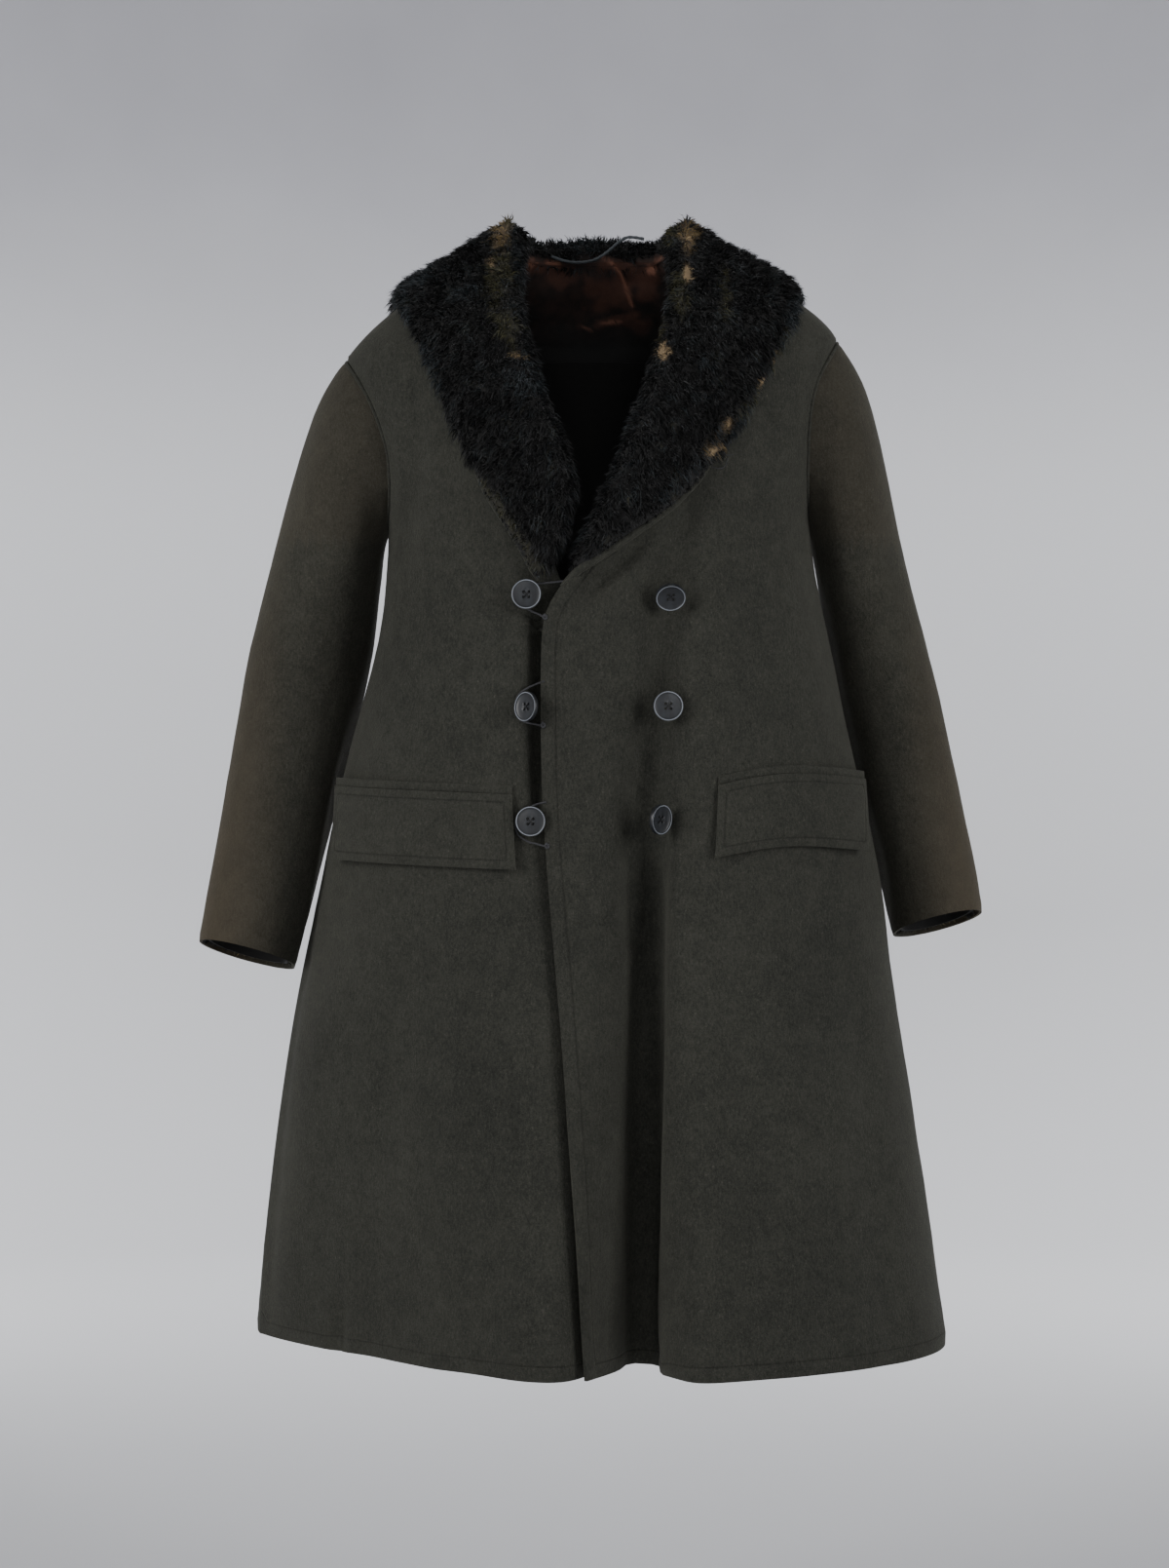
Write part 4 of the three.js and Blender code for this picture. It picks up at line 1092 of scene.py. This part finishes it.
def make_fur_lining():
    obj = as_object(seen_facing("lining_fur"), "lining_of_back")
    roots, directions = scatter(obj, 24000)
    facts = no_wear_nor_sheen(len(roots))
    seen = in_picture(roots)
    # Blue here: a painted grey-blue sheen on the fur inside the back.
    facts["blue"] = spots(seen, [((625, 430), (34, 50), 0), ((590, 395), (26, 16), 0)])
    facts["blue"] *= rng.random(len(roots)) < 0.7
    facts["rust"] = 0.7 * spots(seen, [((640, 372), (40, 14), 0)]) * (rng.random(len(roots)) < 0.5)
    pile = fur("fur_lining_of_back", roots, directions, 0.009, 0.0012, (0, 0, -0.6), lightened_fur, None, facts)
    thicken(obj, hide, 3 * MM)
    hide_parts("lining_fur")
    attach(obj, "root")
    return obj, pile


WORN_CUFFS = {
    "tan": [((281, 978), (18, 5), 8), ((965, 944), (14, 3), -10), ((250, 976), (10, 3), 0)],
    "olive": [((270, 980), (30, 8), 8), ((975, 942), (20, 5), -8)],
}


def make_cuff_fur(side):
    name = "cuff_lining_" + side
    obj = as_object(outer_face(name, 5 * MM, inner=True), "lining_of_cuff_" + side)
    apply_modifier(obj, "SUBSURF", levels=1, render_levels=1, boundary_smooth="PRESERVE_CORNERS")
    roots, directions = scatter(obj, 7000)
    facts = no_wear_nor_sheen(len(roots))
    flat = in_picture(roots)
    for key, places in WORN_CUFFS.items():
        facts[key] = spots(flat, places)
    pile = fur("fur_of_cuff_" + side, roots, directions, 0.0055, 0.0011, (0, 0, -1.0), black_fur, None, facts)
    thicken(obj, hide, 3 * MM)
    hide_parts(name)
    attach(obj, "root")
    return obj, pile


neck_lining = make_neck_lining()
back_lining = make_fur_lining()
cuff_linings = {side: make_cuff_fur(side) for side in ("right", "left")}


# Cords: the hanging loop, and the loops that go round the right front's buttons

def smooth_path(points, step=0.0006):
    """A line through the points, rounded at each of them."""
    points = np.array(points, float)
    ends = np.vstack([2 * points[0] - points[1], points, 2 * points[-1] - points[-2]])
    line = []
    for a, b, c, d in zip(ends[:-3], ends[1:-2], ends[2:-1], ends[3:]):
        count = max(2, int(np.linalg.norm(c - b) / step))
        t = np.linspace(0, 1, count, endpoint=False)[:, None]
        turn = (2 * a - 5 * b + 4 * c - d) * t ** 2
        line.append(0.5 * (2 * b + (c - a) * t + turn + (3 * b - a - 3 * c + d) * t ** 3))
    return np.vstack(line + [points[-1:]])


def twisted_cord(name, path, radius, paint, pitch=0.0042, sides=9, depth=0.2):
    """A round cord whose two plies wind round each other."""
    line = smooth_path(path)
    forward = unit(np.gradient(line, axis=0))
    passed = np.concatenate([[0], np.cumsum(np.linalg.norm(np.diff(line, axis=0), axis=1))])
    up = np.array([0.3, -1.0, 0.15])
    verts = []
    for point, ahead, at in zip(line, forward, passed):
        across = np.cross(ahead, up)
        across = across / np.linalg.norm(across)
        up = np.cross(across, ahead)
        for k in range(sides):
            turn = 2 * math.pi * k / sides
            r = radius * (1 + depth * math.cos(2 * turn - 2 * math.pi * at / pitch))
            verts.append(point + r * (across * math.cos(turn) + up * math.sin(turn)))
    obj = closed_mesh(name, verts, tube_faces(len(line), sides))
    obj.data.materials.append(paint)
    only(obj)
    bpy.ops.object.shade_smooth()
    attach(obj, "root")
    return obj


def joined(name, parts):
    """Several meshes as one piece."""
    bpy.ops.object.select_all(action="DESELECT")
    for part in parts:
        part.select_set(True)
    bpy.context.view_layer.objects.active = parts[0]
    bpy.ops.object.join()
    parts[0].name = name
    return parts[0]


loop_cord = plain("dark_cord", ("#1b1b1d", "#37373a"), 0.8)
hanger_cord = plain("blue_grey_cord", ("#262a2d", "#43494d"), 0.7)


def middle_line(name, count=13):
    """The centre line of a cord that runs across in X."""
    points = solid_points(name)
    order = points[np.argsort(points[:, 0])]
    return np.array([part.mean(axis=0) for part in np.array_split(order, count)])


hanger_line = middle_line("hanging_loop")
hanger = twisted_cord("hanging_loop_cord", hanger_line, 1.5 * MM, hanger_cord, 0.006, 10, 0.12)
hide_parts("hanging_loop")


right_cloth = tree_of(panels["front_right"].data)
left_cloth = tree_of(panels["front_left"].data)
EYE = Vector((0.0, -REACH, EYE_HEIGHT))


def ray_through(pixel):
    """From the eye through a pixel of the picture."""
    x = (pixel[0] - MIDDLE[0]) * PIXEL
    z = EYE_HEIGHT - (pixel[1] - MIDDLE[1]) * PIXEL
    return (Vector((x, 0.0, z)) - EYE).normalized()


def on_cloth(tree, pixel):
    """Where the cloth lies behind a pixel, or None beside it."""
    return tree.ray_cast(EYE, ray_through(pixel), 6)[0]


def at_depth(pixel, y):
    aim = ray_through(pixel)
    return EYE + aim * ((y + REACH) / aim.y)


def left_edge_at(pixel):
    """The left front's cloth at a pixel, or just inside its edge."""
    return on_cloth(left_cloth, pixel) or on_cloth(left_cloth, (pixel[0] + 4, pixel[1]))


# Each loop in the picture: from the left front's edge, behind the button and back, with the knot last
LOOPS = {
    1: [
        (580, 596), (566, 597.5), (552, 599), (541, 602), (534, 611), (537, 621), (545, 627), (552, 630),
        (559, 634),
    ],
    2: [
        (558, 699), (550, 702), (541, 706), (532, 713), (528, 725), (531, 736), (539, 741), (548, 743),
        (557, 745),
    ],
    3: [
        (560, 823), (550, 825.5), (541, 830), (532, 836), (528, 846), (531, 856), (540, 863), (550, 866),
        (561, 869),
    ],
}


def make_button_loop(number):
    pixels = LOOPS[number]
    first = left_edge_at(pixels[0])
    last = left_edge_at(pixels[-1])
    path = []
    for i, pixel in enumerate(pixels):
        share = i / (len(pixels) - 1)
        ends = first.y * (1 - share) + last.y * share - 0.0006
        below = on_cloth(right_cloth, pixel)
        rest = below.y - 0.0018 if below is not None else ends
        near = min(1.0, 2.6 * min(share, 1 - share))
        path.append(at_depth(pixel, ends * (1 - near) + rest * near))
    cord = twisted_cord(f"loop_cord_{number}", path, 0.95 * MM, loop_cord, 0.0034)
    tail = path[-1]
    curl = []
    for i in range(15):
        turn = 2 * math.pi * i / 7
        out = -0.6 - 0.5 * math.cos(3 * turn)
        rise = 1.7 * math.cos(turn) + 0.12 * i
        curl.append(tail + Vector((1.8 * math.sin(turn), out, rise)) * MM)
    knot = twisted_cord(f"knot_{number}", curl, 0.8 * MM, loop_cord, 0.0034, 7)
    piece = joined(f"loop_with_knot_{number}", [cord, knot])
    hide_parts(f"button_loop_{number}")
    return piece


loops = [make_button_loop(number) for number in (1, 2, 3)]


# Buttons: a turned disc with a thin raised rim, a dished face and four holes with thread

def horn_paint():
    paint = Paint("black_horn")
    streak = paint.noise(180, 3, 0.6, paint.stretched(1.0, 1.0, 0.3))
    shade = paint.mix(streak.step(0.35, 0.7), colour("#141619"), colour("#1f2226"))
    rough = streak * 0.05 + 0.36
    return paint.finish(Base_Color=shade, Roughness=rough, Specular_IOR_Level=0.5)


horn = horn_paint()
# The rims are a paler horn: a painted highlight, the thin bright reflection round each rim.
rim_with_painted_highlight = plain("polished_rim_painted_highlight", ("#63676d", "#868b92"), 0.3)
thread = plain("black_thread", ("#0b0b0b", "#1a1a1a"), 0.8)


def face_up_selected(obj, low, high, reach):
    """Selects the flat faces that look up between two heights and lie within a reach of the middle."""
    bpy.ops.object.mode_set(mode="OBJECT")
    for face in obj.data.polygons:
        c = face.center
        face.select = face.normal.z > 0.9 and low < c.z < high and math.hypot(c.x, c.y) < reach
    bpy.ops.object.mode_set(mode="EDIT")


def hole_at(turn):
    """The middle of the hole that lies this way, in degrees, from the button's middle."""
    return 3.5 * MM * math.cos(math.radians(turn)), 3.5 * MM * math.sin(math.radians(turn))


def make_button():
    """One button, lying flat with its back at z = 0."""
    bpy.ops.object.select_all(action="DESELECT")
    seat = (0, 0, 2.0 * MM)
    bpy.ops.mesh.primitive_cylinder_add(vertices=48, radius=14.3 * MM, depth=4.0 * MM, location=seat)
    obj = bpy.context.active_object
    bpy.ops.object.transform_apply(location=True, rotation=True, scale=True)
    bpy.ops.object.mode_set(mode="EDIT")
    bpy.ops.mesh.select_mode(type="FACE")
    face_up_selected(obj, 3.9 * MM, 4.1 * MM, 1)
    bpy.ops.mesh.inset(thickness=0.5 * MM)
    bpy.ops.mesh.inset(thickness=0.75 * MM)
    bpy.ops.mesh.inset(thickness=0.35 * MM)
    bpy.ops.transform.translate(value=(0, 0, -1.2 * MM))
    bpy.ops.mesh.inset(thickness=2.6 * MM)
    bpy.ops.transform.translate(value=(0, 0, -0.35 * MM))
    bpy.ops.mesh.inset(thickness=2.6 * MM)
    bpy.ops.transform.translate(value=(0, 0, -0.25 * MM))
    bpy.ops.object.mode_set(mode="OBJECT")
    cutters = []
    for turn in (45, 135, 225, 315):
        place = (*hole_at(turn), 2 * MM)
        bpy.ops.mesh.primitive_cylinder_add(vertices=16, radius=1.35 * MM, depth=8 * MM, location=place)
        cutters.append(bpy.context.active_object)
    for cutter in cutters:
        apply_modifier(obj, "BOOLEAN", operation="DIFFERENCE", object=cutter, solver="EXACT")
    for cutter in cutters:
        bpy.data.objects.remove(cutter)
    sharp = math.radians(35)
    apply_modifier(obj, "BEVEL", width=0.4 * MM, segments=2, limit_method="ANGLE", angle_limit=sharp)
    only(obj)
    bpy.ops.object.shade_smooth_by_angle(angle=math.radians(40))
    obj.data.materials.append(horn)
    obj.data.materials.append(rim_with_painted_highlight)
    # The rim's top takes the paler material, a painted highlight.
    for face in obj.data.polygons:
        reach = math.hypot(face.center.x, face.center.y)
        if 12.9 * MM < reach < 13.75 * MM and face.center.z > 3.6 * MM:
            face.material_index = 1
    return obj


def make_threads():
    """The thread in the four holes: two crossed stitches, and the shank behind."""
    parts = []
    for a, b in ((45, 225), (135, 315)):
        one, other = hole_at(a), hole_at(b)
        path = [(*one, 0.0009), (*one, 0.0026), (0, 0, 0.0030), (*other, 0.0026), (*other, 0.0009)]
        parts.append(twisted_cord(f"stitch_{a}", path, 0.45 * MM, thread, 0.002, 6))
    shank = [(0, 0, 0.001), (0.0003, 0, -0.004), (0, 0, -0.011)]
    parts.append(twisted_cord("shank", shank, 1.5 * MM, thread, 0.003, 8))
    return joined("button_thread", parts)


def button_place(name):
    """A button's centre and the way its cloth faces, from its solid: its axis is where it is thinnest."""
    points = solid_points(name)
    centre = (points.max(axis=0) + points.min(axis=0)) / 2
    spread = np.linalg.eigh(np.cov((points - points.mean(axis=0)).T))
    axis = Vector(spread[1][:, 0])
    return Vector(centre), -axis if axis.y > 0 else axis


# Which way each button looks, in degrees from straight ahead: to the side, and up
LOOKS = {
    "button_right_1": (-4, 3), "button_right_2": (-45, 4), "button_right_3": (-3, 2),
    "button_left_1": (4, -36), "button_left_2": (4, 2), "button_left_3": (48, -6),
}


def place_buttons():
    model = make_button()
    sewing = make_threads()
    for name, (aside, up) in LOOKS.items():
        centre, axis = button_place(name)
        a, e = math.radians(aside), math.radians(up)
        look = Vector((math.sin(a) * math.cos(e), -math.cos(a) * math.cos(e), math.sin(e)))
        turned = math.acos(max(-1.0, min(1.0, look.dot(axis))))
        lift = max(0.0, 13.0 * MM * math.sin(turned) - 1.5 * MM)
        seat = look.to_track_quat("Z", "Y").to_matrix().to_4x4()
        back = Matrix.Translation((0, 0, -2.0 * MM))
        pieces = []
        for source in (model, sewing):
            obj = placed(name + "_" + source.name, source.data.copy())
            obj.data.transform(Matrix.Translation(centre + Vector((0, -lift * 0.8, 0))) @ seat @ back)
            pieces.append(obj)
        piece = joined("horn_" + name, pieces)
        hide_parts(name)
        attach(piece, "root")
    for source in (model, sewing):
        bpy.data.objects.remove(source)


place_buttons()


# The lapels' edges: the cloth is turned round the fur's edge, and worn on the right lapel

def edge_roll(name, pixels, trees, width, height, paint, out=2.0, sides=10):
    """A flattened roll of turned cloth along a path in the picture, lying on what is behind it."""
    path = []
    for pixel in pixels:
        hits = [h for h in (on_cloth(tree, pixel) for tree in trees) if h is not None]
        near = min(hits, key=lambda h: h.y) if hits else Vector(path[-1])
        path.append(near + Vector((0, -out * MM, 0)))
    line = smooth_path(path, 0.002)
    forward = unit(np.gradient(line, axis=0))
    shares = np.linspace(0, 1, len(line))
    verts = []
    for point, ahead, share in zip(line, forward, shares):
        across = np.cross(ahead, (0, -1.0, 0))
        across = across / np.linalg.norm(across)
        up = np.cross(across, ahead)
        taper = min(1.0, share * 7 + 0.25, (1 - share) * 7 + 0.25)
        wobble = 1 + 0.12 * noise.noise(Vector((share * 14, 3.1, 0)))
        for k in range(sides):
            turn = 2 * math.pi * k / sides
            verts.append(
                point
                + across * math.cos(turn) * width * MM / 2 * taper * wobble
                + up * math.sin(turn) * height * MM / 2 * taper
            )
    obj = closed_mesh(name, verts, tube_faces(len(line), sides))
    obj.data.materials.append(paint)
    set_attribute(obj, "edge", np.full(len(verts), 1.0))
    only(obj)
    bpy.ops.object.shade_smooth()
    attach(obj, "root")
    return obj


lapel_edge_left = edge_roll("lapel_edge_left", LEFT_LAPEL, [left_cloth], 7.5, 6.0, wool_body, 9.0)
lapel_edge_right = edge_roll("lapel_edge_right", RIGHT_LAPEL, [right_cloth], 6.5, 5.0, wool_body, 7.0)


# A loose thread loop at the left lapel's edge, and the frayed ends over it

def loose_threads():
    paths = [
        [(726, 468), (729, 477), (736, 480.5), (743, 479), (747, 470)],
        [(741, 462), (746, 467), (752, 466)],
        [(744, 458), (748, 455), (750, 449)],
    ]
    behind = on_cloth(left_cloth, (744, 482)).y
    made = []
    for number, pixels in enumerate(paths):
        line = [at_depth(pixel, behind - (9 - abs(i - 2)) * MM) for i, pixel in enumerate(pixels)]
        made.append(twisted_cord(f"thread_{number}", line, 0.42 * MM, loop_cord, 0.003, 6))
    piece = joined("loose_thread_loop", made)


loose_threads()


# The armholes' seams: the sleeve's turned edge lies under the body's

def turned_corner(name, tip):
    """The seam's turned cloth under a body piece's corner at the top of the armhole."""
    bm = outer_face(name)
    away = [f for f in bm.faces if min((v.co - tip).length for v in f.verts) > 9 * MM]
    bmesh.ops.delete(bm, geom=away, context="FACES")
    bm.normal_update()
    for v in bm.verts:
        v.co -= v.normal * 1.9 * MM
    return thicken(as_object(bm, "turned_" + name), wool_body, 1.5 * MM)


def armhole_seam(side):
    sleeve = tree_of(nodes["sleeve_top_" + side].data, nodes["sleeve_under_" + side].data)
    body = np.vstack([solid_points("back"), solid_points("front_" + side)])
    near = np.array([p for p in body if sleeve.find_nearest(p, 1.5 * MM)[0] is not None])
    centre = (near.max(axis=0) + near.min(axis=0)) / 2
    turn = np.arctan2(near[:, 2] - centre[2], near[:, 1] - centre[1])
    ring = []
    for start in np.linspace(-math.pi, math.pi, 40, endpoint=False):
        part = near[(turn >= start) & (turn < start + math.pi / 20)]
        if len(part):
            at = centre + (part.mean(axis=0) - centre) * (1.0, 0.98, 0.975)
            top = np.clip((at[2] - near[:, 2].max() + 0.022) / 0.022, 0, 1)
            ring.append(at - np.array([np.sign(at[0]) * 0.8, 0, 2.4]) * MM * top)
    roll = twisted_cord("armhole_roll_" + side, ring + ring[:2], 2.0 * MM, wool_body, 0.01, 8, 0.0)
    tip = Vector(near[near[:, 2].argmax()])
    turned = [turned_corner(name, tip) for name in ("back", "front_" + side)]
    seam = joined("armhole_seam_" + side, [roll] + turned)
    set_attribute(seam, "edge", np.full(len(seam.data.vertices), 1.0))
    return seam


armhole_seams = {side: armhole_seam(side) for side in ("right", "left")}
